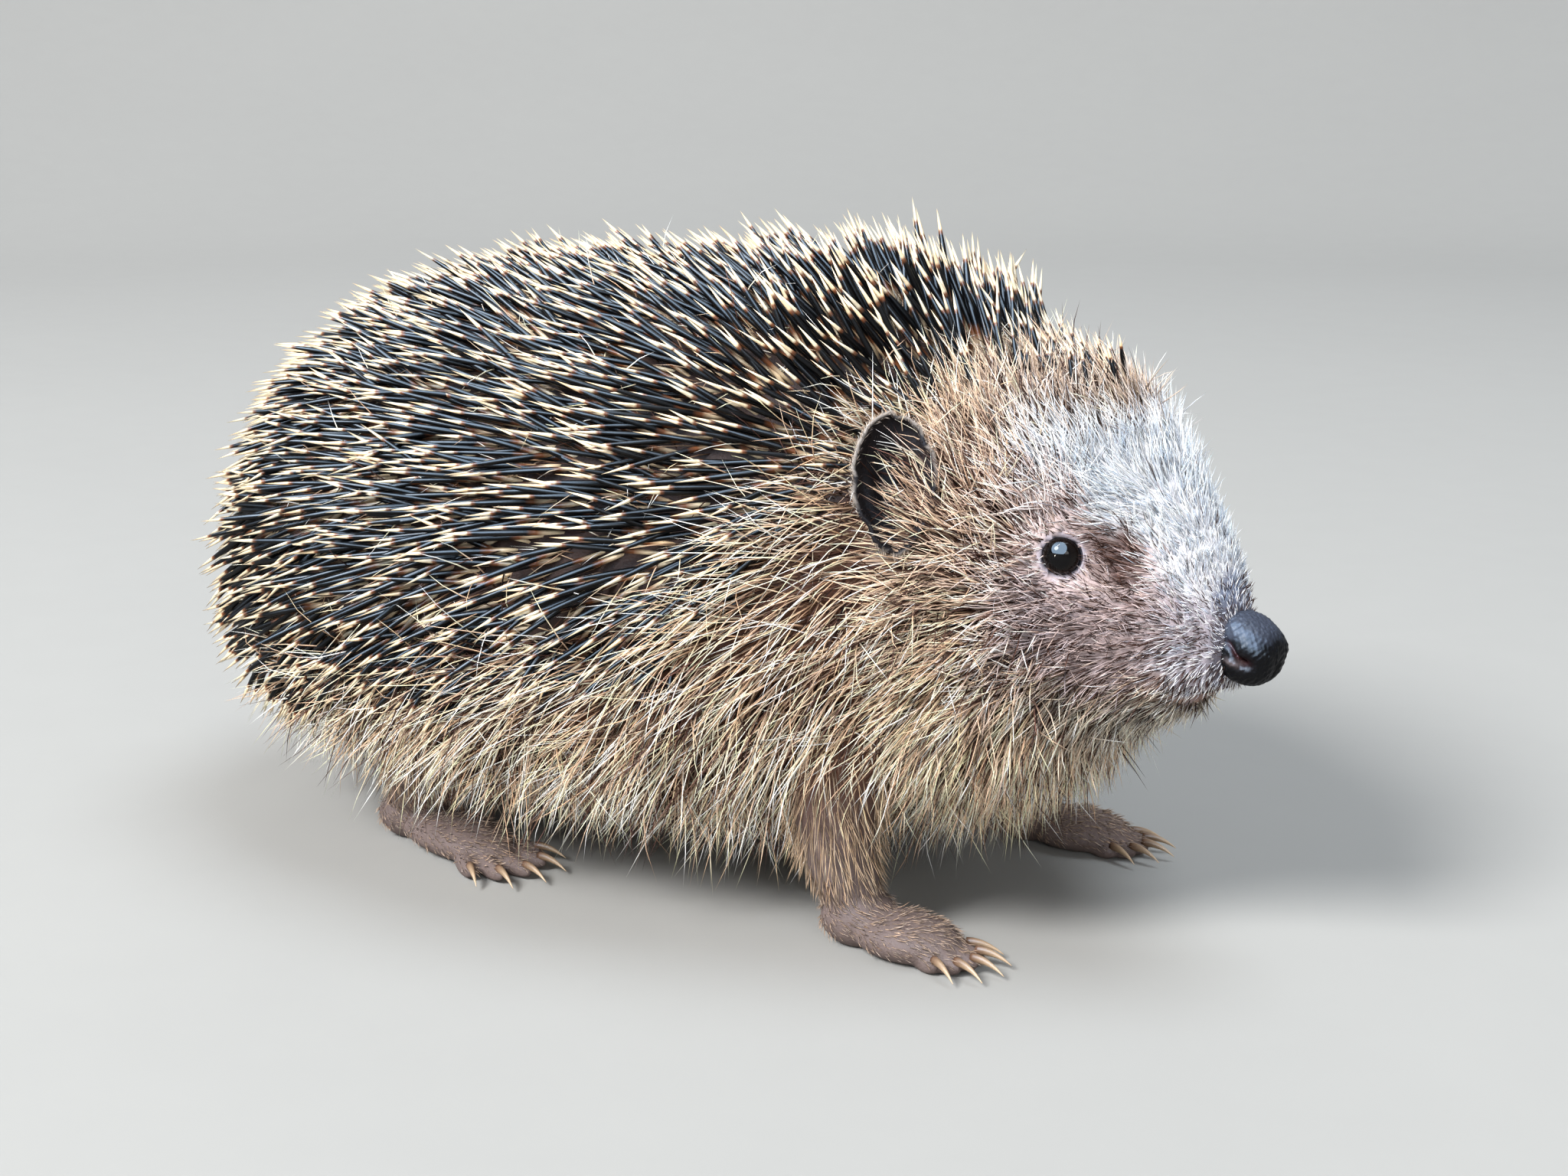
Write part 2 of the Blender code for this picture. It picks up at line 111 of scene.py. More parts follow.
SWELLS = (                      # middle and reach in shares of the length, middle in shares of the
    # height, reach up and down and how far the skin stands out there in millimetres
    (0.872, 0.020, 0.655, 4.5, 1.1),            # brow
    (0.895, 0.014, 0.575, 5.0, -0.8),           # hollow before the eye
    (0.8615, 0.016, 0.587, 4.0, -1.1),          # eye socket
)
PAD_AT, PAD_REACH = 0.945, 0.022                # the whisker pad, in shares of the length,
PAD_ABOVE_MOUTH = 3.4 * MM                      # and its height, reach and swell
PAD_TALL = 3.0 * MM
PAD_SWELL = 0.9 * MM
MOUTH_FRONT = 0.963             # the mouth line's ends, as shares of the length
MOUTH_BACK = 0.905
MOUTH_LEVEL = 0.401             # its height at the back, as a share of the height
MOUTH_RISE = 0.014              # how much higher it is in front
MOUTH_DEPTH = 1.0 * MM          # the groove between the lips
MOUTH_TALL = 0.55 * MM
JAW_INSET = 0.5 * MM            # how far the jaw lies inside the upper lip, and behind it
JAW_BEHIND = 3.4 * MM


def srgb(red, green, blue):
    """A colour given as 0 to 255 display values, as linear red, green and blue."""
    display = np.array([red, green, blue]) / 255
    return np.where(display <= 0.04045, display / 12.92, ((display + 0.055) / 1.055) ** 2.4)


# ---- Settings a user would change -----------------------------------------------------------
def length_property(name, description, default, high=0.1):
    """A length in metres, from nothing up to high."""
    return bpy.props.FloatProperty(name=name, description=description, default=default,
                                   min=0.0, max=high, subtype="DISTANCE", unit="LENGTH", precision=5)


def count_property(name, description, default):
    """How many there are at most: fewer stand where they would crowd."""
    return bpy.props.IntProperty(name=name, description=description, default=default, min=10)


def colour_property(name, description, red, green, blue):
    """A colour whose default is given in display values."""
    return bpy.props.FloatVectorProperty(name=name, description=description, subtype="COLOR",
                                         size=3, min=0.0, max=1.0,
                                         default=tuple(float(v) for v in srgb(red, green, blue)))


class HedgehogSizes(bpy.types.PropertyGroup):
    """Counts and sizes of the coat."""
    spine_count: count_property("Spines", "How many spines at most", 5100)
    spine_length: length_property("Spine length", "Length of a spine on the back", 0.022)
    spine_width: length_property("Spine width", "A spine's thickness at its thickest", 0.00114, high=0.01)
    coarse_count: count_property("Coarse hairs", "How many long hairs at most on neck, flanks, belly", 27000)
    coarse_width: length_property("Coarse width", "A long hair's thickness", 0.00029, high=0.01)
    face_count: count_property("Face hairs", "How many short hairs at most on the head", 28500)
    face_width: length_property("Face width", "A face hair's thickness", 0.00017, high=0.01)
    limb_count: count_property("Limb hairs", "How many hairs at most on legs, feet and tail", 7500)
    ear_count: count_property("Ear hairs", "How many fine hairs at most on the ears", 2000)


class HedgehogColours(bpy.types.PropertyGroup):
    """Colours of the coat, the skin and the stage."""
    spine_dark: colour_property("Spine band", "The dark band of a spine", 10, 9, 10)
    spine_cream: colour_property("Spine tip", "The tip and the base of a spine", 242, 222, 188)
    blond: colour_property("Blond", "Long hair of the neck, the flanks and the chest", 255, 217, 185)
    forehead: colour_property("Forehead", "Hair between the spines and the pale band", 208, 184, 164)
    band: colour_property("Pale band", "The pale band down the forehead and the muzzle", 218, 225, 234)
    face: colour_property("Face", "Short hair round the eye", 240, 220, 216)
    temple: colour_property("Temple", "Hair between ear and eye", 222, 192, 168)
    # Darker than the face round the eye: partly its own colour, partly painted shade of the lower face.
    under_eye: colour_property("Under the eye", "Short hair under the eye", 192, 174, 173)
    streak: colour_property("Streak", "The dark streak between eye and pale band", 96, 68, 58)
    muzzle: colour_property("Muzzle", "Short hair behind the nose", 224, 226, 237)
    chin: colour_property("Chin", "Hair of the chin and the throat", 222, 212, 196)
    belly: colour_property("Belly", "Hair of the belly and the legs", 210, 184, 156)
    ear: colour_property("Ear", "Bare skin of the ear", 32, 28, 29)
    lip: colour_property("Lip", "Bare skin of the lips", 130, 106, 99)
    floor: colour_property("Floor", "The stage's floor", 158, 158, 156)


# ---- Where things are -----------------------------------------------------------------------
def neck_bend():
    """Where the neck's bend starts and ends along the straight body, and its arc's radius."""
    start, end = (TURN_START - 0.5) * BODY_LENGTH, (TURN_END - 0.5) * BODY_LENGTH
    return start, end, (end - start) / HEAD_TURN


def turned(points):
    """The straight body's points carried round the neck's bend: an arc, then a straight run."""
    x, y, z = np.moveaxis(points, -1, 0)
    start, end, radius = neck_bend()
    angle = HEAD_TURN * np.clip((x - start) / (end - start), 0, 1)
    past = np.maximum(x - end, 0) + np.minimum(x - start, 0)
    return np.stack([start + (radius - y) * np.sin(angle) + past * np.cos(angle),
                     radius - (radius - y) * np.cos(angle) + past * np.sin(angle), z], -1)


def straight(points):
    """The way back from turned: share of the length, side and height of any point."""
    x, y, z = np.moveaxis(points, -1, 0)
    start, end, radius = neck_bend()
    swing = np.arctan2((x - start) * np.sign(radius), (radius - y) * np.sign(radius))
    angle = np.clip(swing / HEAD_TURN, 0, 1) * HEAD_TURN
    middle_x, middle_y = start + radius * np.sin(angle), radius - radius * np.cos(angle)
    ahead = (x - middle_x) * np.cos(angle) + (y - middle_y) * np.sin(angle)
    side = (y - middle_y) * np.cos(angle) - (x - middle_x) * np.sin(angle)
    along = start + (end - start) * angle / HEAD_TURN + ahead
    return along / BODY_LENGTH + 0.5, side, z


def share_and_level(points):
    """Each point's shares of the body's length and height."""
    share, _, height = straight(points)
    return share, height / TALL


def head_matrix(pitch=0.0, yaw=0.0):
    """The turn of a piece of the head: its own pitch, then its yaw, then the head's turn."""
    cp, sp, cy, sy = math.cos(pitch), math.sin(pitch), math.cos(yaw + HEAD_TURN), math.sin(yaw + HEAD_TURN)
    about_y = np.array([[cp, 0, sp], [0, 1, 0], [-sp, 0, cp]])
    about_z = np.array([[cy, -sy, 0], [sy, cy, 0], [0, 0, 1]])
    return about_z @ about_y


def smooth(value, low, high):
    """0 below low, 1 above high, and an eased step between them; low may be above high."""
    t = np.clip((value - low) / (high - low), 0, 1)
    return t * t * (3 - 2 * t)


def bell(*distances):
    """A bell curve over one or more distances, each in the bell's own widths: 1 at its middle."""
    return np.exp(-sum(distance ** 2 for distance in distances))


def unit(vectors):
    """Vectors divided by their lengths."""
    return vectors / np.maximum(np.linalg.norm(vectors, axis=-1, keepdims=True), 1e-12)


def along_skin(vectors, normals):
    """Vectors laid flat on the skin: less their part along the normals."""
    return vectors - normals * np.einsum("ij,ij->i", vectors, normals)[:, None]


def full_turn(count):
    """Evenly spaced angles once round."""
    return np.linspace(0, 2 * math.pi, count, endpoint=False)


def box_middle(node):
    """The middle and the size of a solid's box."""
    low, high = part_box(node)
    return np.array((low + high) / 2), np.array(high - low)


def sections(share):
    """The section's values at each share: the named sections joined by cubic Hermite curves."""
    knots, values = SKIN_SECTIONS[:, 0], SKIN_SECTIONS[:, 1:]
    slopes = np.gradient(values, knots, axis=0)
    i = np.clip(np.searchsorted(knots, share) - 1, 0, len(knots) - 2)
    step = (knots[i + 1] - knots[i])[..., None]
    t = ((share - knots[i])[..., None]) / step
    return ((2 * t**3 - 3 * t**2 + 1) * values[i] + (t**3 - 2 * t**2 + t) * step * slopes[i]
            + (3 * t**2 - 2 * t**3) * values[i + 1] + (t**3 - t**2) * step * slopes[i + 1])


def mouth_height(share):
    """The height of the mouth line: it rises a little towards the nose."""
    rise = (share - MOUTH_BACK) / (MOUTH_FRONT - MOUTH_BACK)
    return TALL * (MOUTH_LEVEL + MOUTH_RISE * rise)


def body_surface(share, angle):
    """The skin of head and body. y and z follow a superellipse whose half width, top and bottom
    come from the sections; bells swell or hollow its sides, the mouth is a groove, and the jaw
    lies inside and behind the upper lip."""
    half, top, bottom, crest, square = np.moveaxis(sections(share), -1, 0)
    half, top, bottom = half * HALF_WIDTH, top * TALL, bottom * TALL
    middle = bottom + crest * (top - bottom)
    across, up = np.cos(angle), np.sin(angle)
    y = half * np.sign(across) * np.abs(across) ** (2 / square)
    reach = np.where(up > 0, top - middle, middle - bottom)
    z = middle + reach * np.sign(up) * np.abs(up) ** (2 / square)
    mouth = mouth_height(share)
    pad = bell((share - PAD_AT) / PAD_REACH, (z - mouth - PAD_ABOVE_MOUTH) / PAD_TALL)
    y = y + np.sign(y) * PAD_SWELL * pad
    for at, length, level, height, out in SWELLS:
        y = y + np.sign(y) * out * MM * bell((share - at) / length, (z - level * TALL) / (height * MM))
    inside = smooth(share, MOUTH_BACK - 0.006, MOUTH_BACK + 0.006) * smooth(share, MOUTH_FRONT, 0.959)
    groove = bell((z - mouth) / MOUTH_TALL) * inside
    jaw = smooth(z, mouth, mouth - 0.9 * MM) * inside
    y = y - np.sign(y) * (MOUTH_DEPTH * groove + JAW_INSET * jaw)
    behind = smooth(z, mouth + 0.2 * MM, mouth - 1.6 * MM) * smooth(share, 0.922, 0.957)
    x = (share - 0.5) * BODY_LENGTH - JAW_BEHIND * behind
    return turned(np.stack([x, y, z], -1))


def ripple(points, wavelength, seed, waves=5):
    """A smooth wandering vector for each point: sines of the point along a few fixed random ways."""
    rng = np.random.default_rng(seed)
    ways = unit(rng.normal(size=(waves, 3))) * (2 * math.pi / wavelength)
    ways *= rng.uniform(0.6, 1.6, (waves, 1))
    phases = rng.uniform(0, 2 * math.pi, (waves, 3))
    angles = points @ ways.T
    total = sum(np.sin(angles[:, i, None] + phases[i]) for i in range(waves))
    return total / math.sqrt(waves / 2)


# ---- Meshes ---------------------------------------------------------------------------------
MAP = "OFBake"                  # the name of every piece's map


def read(items, key, width, kind=float):
    """One value of every item, as rows of the given width."""
    values = np.empty(len(items) * width, kind)
    items.foreach_get(key, values)
    return values.reshape(-1, width)


def add_attribute(mesh, key, values):
    """Stores a number, or a colour, for each point."""
    if values.ndim == 1:
        mesh.attributes.new(key, "FLOAT", "POINT").data.foreach_set("value", values.astype(np.float32))
        return
    full = np.concatenate([values, np.ones((len(values), 1))], 1).astype(np.float32)
    mesh.attributes.new(key, "FLOAT_COLOR", "POINT").data.foreach_set("color", full.ravel())


def to_object(name, points, loops, counts, uv=None, attributes=None, look=None):
    """A mesh object from whole arrays: points, the points round each face, and each face's size."""
    mesh = bpy.data.meshes.new(name)
    mesh.vertices.add(len(points))
    mesh.vertices.foreach_set("co", np.asarray(points, np.float32).ravel())
    mesh.loops.add(len(loops))
    mesh.loops.foreach_set("vertex_index", np.asarray(loops, np.int32))
    mesh.polygons.add(len(counts))
    starts = np.concatenate([[0], np.cumsum(counts)[:-1]])
    mesh.polygons.foreach_set("loop_start", starts.astype(np.int32))
    mesh.update(calc_edges=True)
    if uv is not None:
        mesh.uv_layers.new(name=MAP).data.foreach_set("uv", np.asarray(uv, np.float32).ravel())
    for key, values in (attributes or {}).items():
        add_attribute(mesh, key, values)
    mesh.shade_smooth()
    obj = bpy.data.objects.new(name, mesh)
    bpy.context.scene.collection.objects.link(obj)
    if look is not None:
        mesh.materials.append(look)
    return obj


def sheet_faces(rows, columns):
    """The quads of a grid of points, row by row, whose last column joins the first. Also each
    quad corner's row and column, so that a map can run on past the joint."""
    row, column = np.meshgrid(np.arange(rows - 1), np.arange(columns), indexing="ij")
    corners = [(row, column), (row, column + 1), (row + 1, column + 1), (row + 1, column)]
    at_row = np.stack([c[0] for c in corners], -1).reshape(-1)
    at_column = np.stack([c[1] for c in corners], -1).reshape(-1)
    return at_row * columns + at_column % columns, at_row, at_column


def on_island(island, across, up):
    """Places on the map, from shares of an island's width and height."""
    (u_low, v_low), (u_high, v_high) = island
    return np.stack([u_low + (u_high - u_low) * across, v_low + (v_high - v_low) * up], -1)


def closed_sheet(name, points, island, **more):
    """A tube of a grid of points, its two open ends closed by a fan to a middle point.
    island is the part of the map it takes: low and high corner."""
    rows, columns, _ = points.shape
    loops, at_row, at_column = sheet_faces(rows, columns)
    loops, uv = [loops], [on_island(island, at_row / (rows - 1), at_column / columns)]
    counts = np.concatenate([np.full(len(at_row) // 4, 4), np.full(2 * columns, 3)])
    ring = np.arange(columns)
    after = (ring + 1) % columns
    turn = np.stack([ring, ring + 1, ring + 0.5], -1).ravel() / columns
    for end, row, first, second in ((0, 0, after, ring), (1, rows - 1, ring, after)):
        pole = np.full(columns, rows * columns + end)
        loops.append(np.stack([row * columns + first, row * columns + second, pole], -1).ravel())
        uv.append(on_island(island, np.full(len(turn), end), turn))
    poles = [points[0].mean(0), points[-1].mean(0)]
    return to_object(name, np.concatenate([points.reshape(-1, 3), poles]), np.concatenate(loops), counts,
                     uv=np.concatenate(uv), **more)


def wrapped_ring(name, points, island):
    """A ring of points closed both ways, as a torus is."""
    rows, columns, _ = points.shape
    loops, at_row, at_column = sheet_faces(rows + 1, columns)
    return to_object(name, points.reshape(-1, 3), loops % (rows * columns), np.full(len(loops) // 4, 4),
                     uv=on_island(island, at_row / rows, at_column / columns))


def ball_ways(rows, columns):
    """Directions from a ball's middle, as a grid: x along its poles, y and z round them."""
    up = np.linspace(0.01, math.pi - 0.01, rows)[:, None]
    around = full_turn(columns)[None, :]
    return np.stack([np.cos(up) + 0 * around, np.sin(up) * np.cos(around), np.sin(up) * np.sin(around)], -1)


def with_poles(tint):
    """A grid's colours as a list, with those of the two points that close its ends."""
    return np.concatenate([tint.reshape(-1, 3), tint[[0, -1], 0]])


def arrays_of(mesh):
    """A mesh's points, normals, triangles and map as arrays."""
    mesh.calc_loop_triangles()
    corners = read(mesh.loop_triangles, "loops", 3, np.int32)
    return (read(mesh.vertices, "co", 3), read(mesh.vertices, "normal", 3),
            read(mesh.loop_triangles, "vertices", 3, np.int32),
            read(mesh.uv_layers[MAP].data, "uv", 2, np.float32)[corners])


def applied(obj):
    """Replaces an object's mesh by its shape after its modifiers."""
    graph = bpy.context.evaluated_depsgraph_get()
    made = bpy.data.meshes.new_from_object(obj.evaluated_get(graph))
    made.name = obj.name
    old = obj.data
    obj.modifiers.clear()
    obj.data = made
    bpy.data.meshes.remove(old)


def joined(objects, name):
    """Joins objects into one mesh, each still a closed shell of its own."""
    bpy.ops.object.select_all(action="DESELECT")
    for obj in objects:
        obj.select_set(True)
    bpy.context.view_layer.objects.active = objects[0]
    bpy.ops.object.join()
    objects[0].name = objects[0].data.name = name
    return objects[0]


def outward(obj):
    """Turns a closed shell's faces out if they point in."""
    points, _, triangles, _ = arrays_of(obj.data)
    a, b, c = (points[triangles[:, i]] for i in range(3))
    if np.einsum("ij,ij->i", a, np.cross(b, c)).sum() < 0:
        obj.data.flip_normals()
    return obj


def dressed(obj, look):
    """Gives an object one material in place of any it has."""
    obj.data.materials.clear()
    obj.data.materials.append(look)


# ---- Materials ------------------------------------------------------------------------------
SPINE_COLOURS = {"brown": srgb(122, 76, 48), "worn": srgb(214, 178, 136)}
SPINE_STOPS = (                 # share of a spine's length from its root, and its colour there
    (0.0, "cream"), (0.16, "cream"), (0.26, "brown"), (0.34, "dark"), (0.745, "dark"), (0.780, "brown"),
    (0.805, "cream"), (0.975, "cream"), (1.0, "worn"),
)
CLAW_ROOT, CLAW_TIP = srgb(92, 66, 52), srgb(206, 180, 148)


def new_material(name, roughness, **sockets):
    """A Principled material; the named sockets take constants. Returns material, nodes, links, shader."""
    made = bpy.data.materials.new(name)
    made.use_nodes = True
    tree = made.node_tree
    shader = tree.nodes["Principled BSDF"]
    shader.inputs["Roughness"].default_value = roughness
    for key, value in sockets.items():
        shader.inputs[key.replace("_", " ")].default_value = value
    return made, tree.nodes, tree.links, shader


def add_math(nodes, operation):
    """One Math node."""
    node = nodes.new("ShaderNodeMath")
    node.operation = operation
    return node


def add_product(nodes, links, first, second):
    """The product of two colours, or of a colour and a number."""
    node = nodes.new("ShaderNodeMix")
    node.data_type = "RGBA"
    node.blend_type = "MULTIPLY"
    node.inputs["Factor"].default_value = 1.0
    links.new(first, node.inputs[6])
    links.new(second, node.inputs[7])
    return node.outputs[2]


def add_bump(nodes, links, shader, height, strength, depth):
    """A bump on the shader's normal."""
    node = nodes.new("ShaderNodeBump")
    node.inputs["Strength"].default_value = strength
    node.inputs["Distance"].default_value = depth
    links.new(height, node.inputs["Height"])
    links.new(node.outputs["Normal"], shader.inputs["Normal"])
    return node


def attribute_socket(nodes, name, output="Color"):
    """A mesh attribute, as a colour or a number."""
    node = nodes.new("ShaderNodeAttribute")
    node.attribute_name = name
    return node.outputs[output]


def mottle_group():
    """Soft patches and fine grain in Object coordinates, as a shared node group: the colour times
    1 - amount + amount * (patches + grain)."""
    name = "Mottle and grain"
    if name in bpy.data.node_groups:
        return bpy.data.node_groups[name]
    group = bpy.data.node_groups.new(name, "ShaderNodeTree")
    sockets = group.interface
    for label, default in (("Patch scale", 150.0), ("Grain scale", 1500.0), ("Amount", 0.3)):
        socket = sockets.new_socket(name=label, in_out="INPUT", socket_type="NodeSocketFloat")
        socket.default_value = default
    sockets.new_socket(name="Colour", in_out="INPUT", socket_type="NodeSocketColor")
    sockets.new_socket(name="Colour", in_out="OUTPUT", socket_type="NodeSocketColor")
    sockets.new_socket(name="Grain", in_out="OUTPUT", socket_type="NodeSocketFloat")
    nodes, links = group.nodes, group.links
    come, leave = nodes.new("NodeGroupInput"), nodes.new("NodeGroupOutput")
    place = nodes.new("ShaderNodeTexCoord")
    patches, grain = nodes.new("ShaderNodeTexNoise"), nodes.new("ShaderNodeTexNoise")
    for noise, label in ((patches, "Patch scale"), (grain, "Grain scale")):
        links.new(place.outputs["Object"], noise.inputs["Vector"])
        links.new(come.outputs[label], noise.inputs["Scale"])
        noise.inputs["Detail"].default_value = 3.0
    both, spread, rest = (add_math(nodes, kind) for kind in ("ADD", "MULTIPLY_ADD", "SUBTRACT"))
    links.new(patches.outputs["Fac"], both.inputs[0])
    links.new(grain.outputs["Fac"], both.inputs[1])
    rest.inputs[0].default_value = 1.0
    links.new(come.outputs["Amount"], rest.inputs[1])
    links.new(both.outputs[0], spread.inputs[0])
    links.new(come.outputs["Amount"], spread.inputs[1])
    links.new(rest.outputs[0], spread.inputs[2])
    links.new(add_product(nodes, links, come.outputs["Colour"], spread.outputs[0]), leave.inputs["Colour"])
    links.new(grain.outputs["Fac"], leave.inputs["Grain"])
    return group


def add_mottle(nodes, links, shader, source, patch, grain, amount, bump=0.0, depth=0.0):
    """Places the mottle group between a colour and the shader, with its grain as a fine bump."""
    group = nodes.new("ShaderNodeGroup")
    group.node_tree = mottle_group()
    group.inputs["Patch scale"].default_value = patch
    group.inputs["Grain scale"].default_value = grain
    group.inputs["Amount"].default_value = amount
    if isinstance(source, bpy.types.NodeSocket):
        links.new(source, group.inputs["Colour"])
    else:
        group.inputs["Colour"].default_value = (*source, 1.0)
    links.new(group.outputs["Colour"], shader.inputs["Base Color"])
    if bump:
        add_bump(nodes, links, shader, group.outputs["Grain"], bump, depth)


def skin_material():
    """Skin under the coat: its tint follows the markings, with mottling and fine pores."""
    made, nodes, links, shader = new_material("Skin", roughness=0.62, Specular_IOR_Level=0.06)
    add_mottle(nodes, links, shader, attribute_socket(nodes, "tint"), patch=220.0, grain=2600.0, amount=0.30,
               bump=0.5, depth=0.3 * MM)
    return made


def hair_material():
    """Hair of every length: tint from root to tip comes with the hair."""
    if "Hair" in bpy.data.materials:
        return bpy.data.materials["Hair"]
    made, nodes, links, shader = new_material("Hair", roughness=0.42, Specular_IOR_Level=0.03)
    add_mottle(nodes, links, shader, attribute_socket(nodes, "tint"), patch=400.0, grain=3000.0, amount=0.12)
    return made


def spine_material(colours):
    """A spine's glossy horn: cream base and tip, dark band between, its edges at their own places."""
    made, nodes, links, shader = new_material("Spine", roughness=0.30, Specular_IOR_Level=0.16,
                                              Coat_Weight=0.05, Coat_Roughness=0.22)
    shades = {"cream": colours.spine_cream, "dark": colours.spine_dark, **SPINE_COLOURS}
    stops = [(place, (*shades[name], 1.0)) for place, name in SPINE_STOPS]
    ramp = nodes.new("ShaderNodeValToRGB")
    links.new(attribute_socket(nodes, "along", "Fac"), ramp.inputs["Fac"])
    elements = ramp.color_ramp.elements
    elements[0].position, elements[0].color = stops[0]
    elements[1].position, elements[1].color = stops[-1]
    for position, colour in stops[1:-1]:
        elements.new(position).color = colour
    shaded = add_product(nodes, links, ramp.outputs["Color"], attribute_socket(nodes, "shade"))
    add_mottle(nodes, links, shader, shaded, patch=500.0, grain=4000.0, amount=0.15)
    return made


def eye_material():
    """The bead eye: black pupil and dark brown iris, wet and very glossy."""
    made, nodes, links, shader = new_material("Eye", roughness=0.03, Specular_IOR_Level=0.17)
    add_mottle(nodes, links, shader, attribute_socket(nodes, "tint"), patch=300.0, grain=2400.0, amount=0.5)
    return made


def nose_material():
    """The nose pad: black leather of small wet pebbles."""
    made, nodes, links, shader = new_material("Nose leather", roughness=0.50, Specular_IOR_Level=0.04,
                                              Coat_Weight=0.15, Coat_Roughness=0.30)
    pebbles = nodes.new("ShaderNodeTexVoronoi")
    pebbles.inputs["Scale"].default_value = 1500.0
    links.new(nodes.new("ShaderNodeTexCoord").outputs["Object"], pebbles.inputs["Vector"])
    add_mottle(nodes, links, shader, attribute_socket(nodes, "tint"), patch=350.0, grain=2500.0, amount=0.35)
    add_bump(nodes, links, shader, pebbles.outputs["Distance"], strength=0.6, depth=0.25 * MM).invert = True
    return made


def claw_material():
    """Claw horn: brown at the root, paler at the tip, with fine streaks."""
    made, nodes, links, shader = new_material("Claw horn", roughness=0.38, Specular_IOR_Level=0.12)
    ramp = nodes.new("ShaderNodeValToRGB")
    links.new(attribute_socket(nodes, "along", "Fac"), ramp.inputs["Fac"])
    for element, colour in zip(ramp.color_ramp.elements, (CLAW_ROOT, CLAW_TIP)):
        element.color = (*colour, 1.0)
    add_mottle(nodes, links, shader, ramp.outputs["Color"], patch=900.0, grain=3500.0, amount=0.3,
               bump=0.3, depth=0.1 * MM)
    return made


def floor_material(colours):
    """The floor: one matt tone, barely mottled."""
    made, nodes, links, shader = new_material("Stage floor", roughness=0.85, Specular_IOR_Level=0.0)
    add_mottle(nodes, links, shader, tuple(colours.floor), patch=6.0, grain=60.0, amount=0.03)
    return made


# ---- Markings -------------------------------------------------------------------------------
PALE_BAND_EDGE = (              # share of the length, height of the pale band's lower edge
    (0.835, 0.690), (0.856, 0.668), (0.878, 0.650), (0.899, 0.622), (0.921, 0.586), (0.940, 0.558),
    (0.955, 0.540), (0.970, 0.528),
)
SPINE_EDGE = (                  # share of the length, height of the lowest spines
    (0.03, 0.15), (0.137, 0.235), (0.315, 0.325), (0.430, 0.345), (0.530, 0.405), (0.613, 0.433),
    (0.671, 0.527), (0.713, 0.645), (0.732, 0.690), (0.767, 0.728), (0.781, 0.758), (0.800, 0.765),
    (0.830, 0.768), (0.852, 0.770), (0.862, 0.820),
)
PATTERN = {                     # each part's edges: the measure, where the part starts, where it is full
    # over is the level above the pale band's lower edge
    "belly": (("level", 0.20, 0.10), ("share", 0.86, 0.70)),
    "forehead": (("share", 0.76, 0.80), ("level", 0.60, 0.70)),
    "temple": (("share", 0.765, 0.785), ("share", 0.850, 0.825),
               ("level", 0.48, 0.55), ("level", 0.73, 0.68)),
    "face": (("share", 0.812, 0.85), ("level", 0.40, 0.44), ("level", 0.735, 0.675)),
    # under_eye: the face below the eye, darker; partly its own colour, partly painted shade of the lower
    # face.
    "under_eye": (("share", 0.835, 0.865), ("level", 0.575, 0.535), ("level", 0.415, 0.45)),
    "chin": (("share", 0.83, 0.88), ("level", 0.43, 0.40)),
    "muzzle": (("share", 0.918, 0.945), ("level", 0.398, 0.410)),
    "streak": (("share", 0.860, 0.880), ("share", 0.924, 0.906),
               ("over", -0.074, -0.044), ("over", 0.020, -0.004)),
    "band": (("over", -0.016, 0.016), ("level", 0.785, 0.728), ("share", 0.820, 0.855)),
}
STREAK_PALE = 0.45              # the streak's strength away from its darkest place
STREAK_DARKEST = 0.901          # that place and its reach, in shares of the length
STREAK_REACH = 0.013
WANDER_SHARE, WANDER_LEVEL = 0.004, 0.011       # how far the pattern's edges wander
DARK_HAIRS = 0.20               # share of dark brown hairs, and how much more of them each part has
# The extra dark hairs under the eye are partly painted shade of the lower face.
MORE_DARK_HAIRS = {"face": -0.04, "under_eye": 0.18, "temple": 0.12, "muzzle": 0.12, "streak": 0.5}
SKIN_COLOURS = {                # bare skin, and skin under the coat
    # body, head and under_spines: the skin's own brown, deepened as painted shade of the coat over it,
    # darkest under the spines.
    "body": srgb(90, 59, 43), "head": srgb(122, 91, 78),
    # under_eye is darker than the face: partly its own colour, partly painted shade of the lower face.
    "temple": srgb(146, 112, 96), "face": srgb(206, 187, 186), "under_eye": srgb(174, 156, 156),
    "chin": srgb(168, 142, 128), "muzzle": srgb(166, 158, 166), "streak": srgb(92, 66, 58),
    "band": srgb(206, 204, 208), "under_spines": srgb(50, 36, 30), "feet": srgb(108, 94, 90),
    # The snout's bluish top beside the pad is a painted reflection of the sky.
    "snout": srgb(88, 84, 92), "snout_top_sky_sheen": srgb(122, 131, 152), "ear_rim": srgb(172, 162, 154),
    "lids": srgb(178, 171, 184), "lid_edge": srgb(34, 31, 36), "mouth": srgb(40, 26, 24),
}
SKIN_PARTS = ("temple", "face", "under_eye", "chin", "muzzle", "streak", "band")


def blend(first, second, mask):
    """From the first colour to the second, by the mask."""
    return first + (second - first) * mask[..., None]


def above_spine_edge(share, level):
    """How far a point is above the spines' lower edge, in shares of the height."""
    knots = np.array(SPINE_EDGE)
    edge = np.interp(share, knots[:, 0], knots[:, 1])
    return np.where(share > knots[-1, 0], -1.0, level - edge)


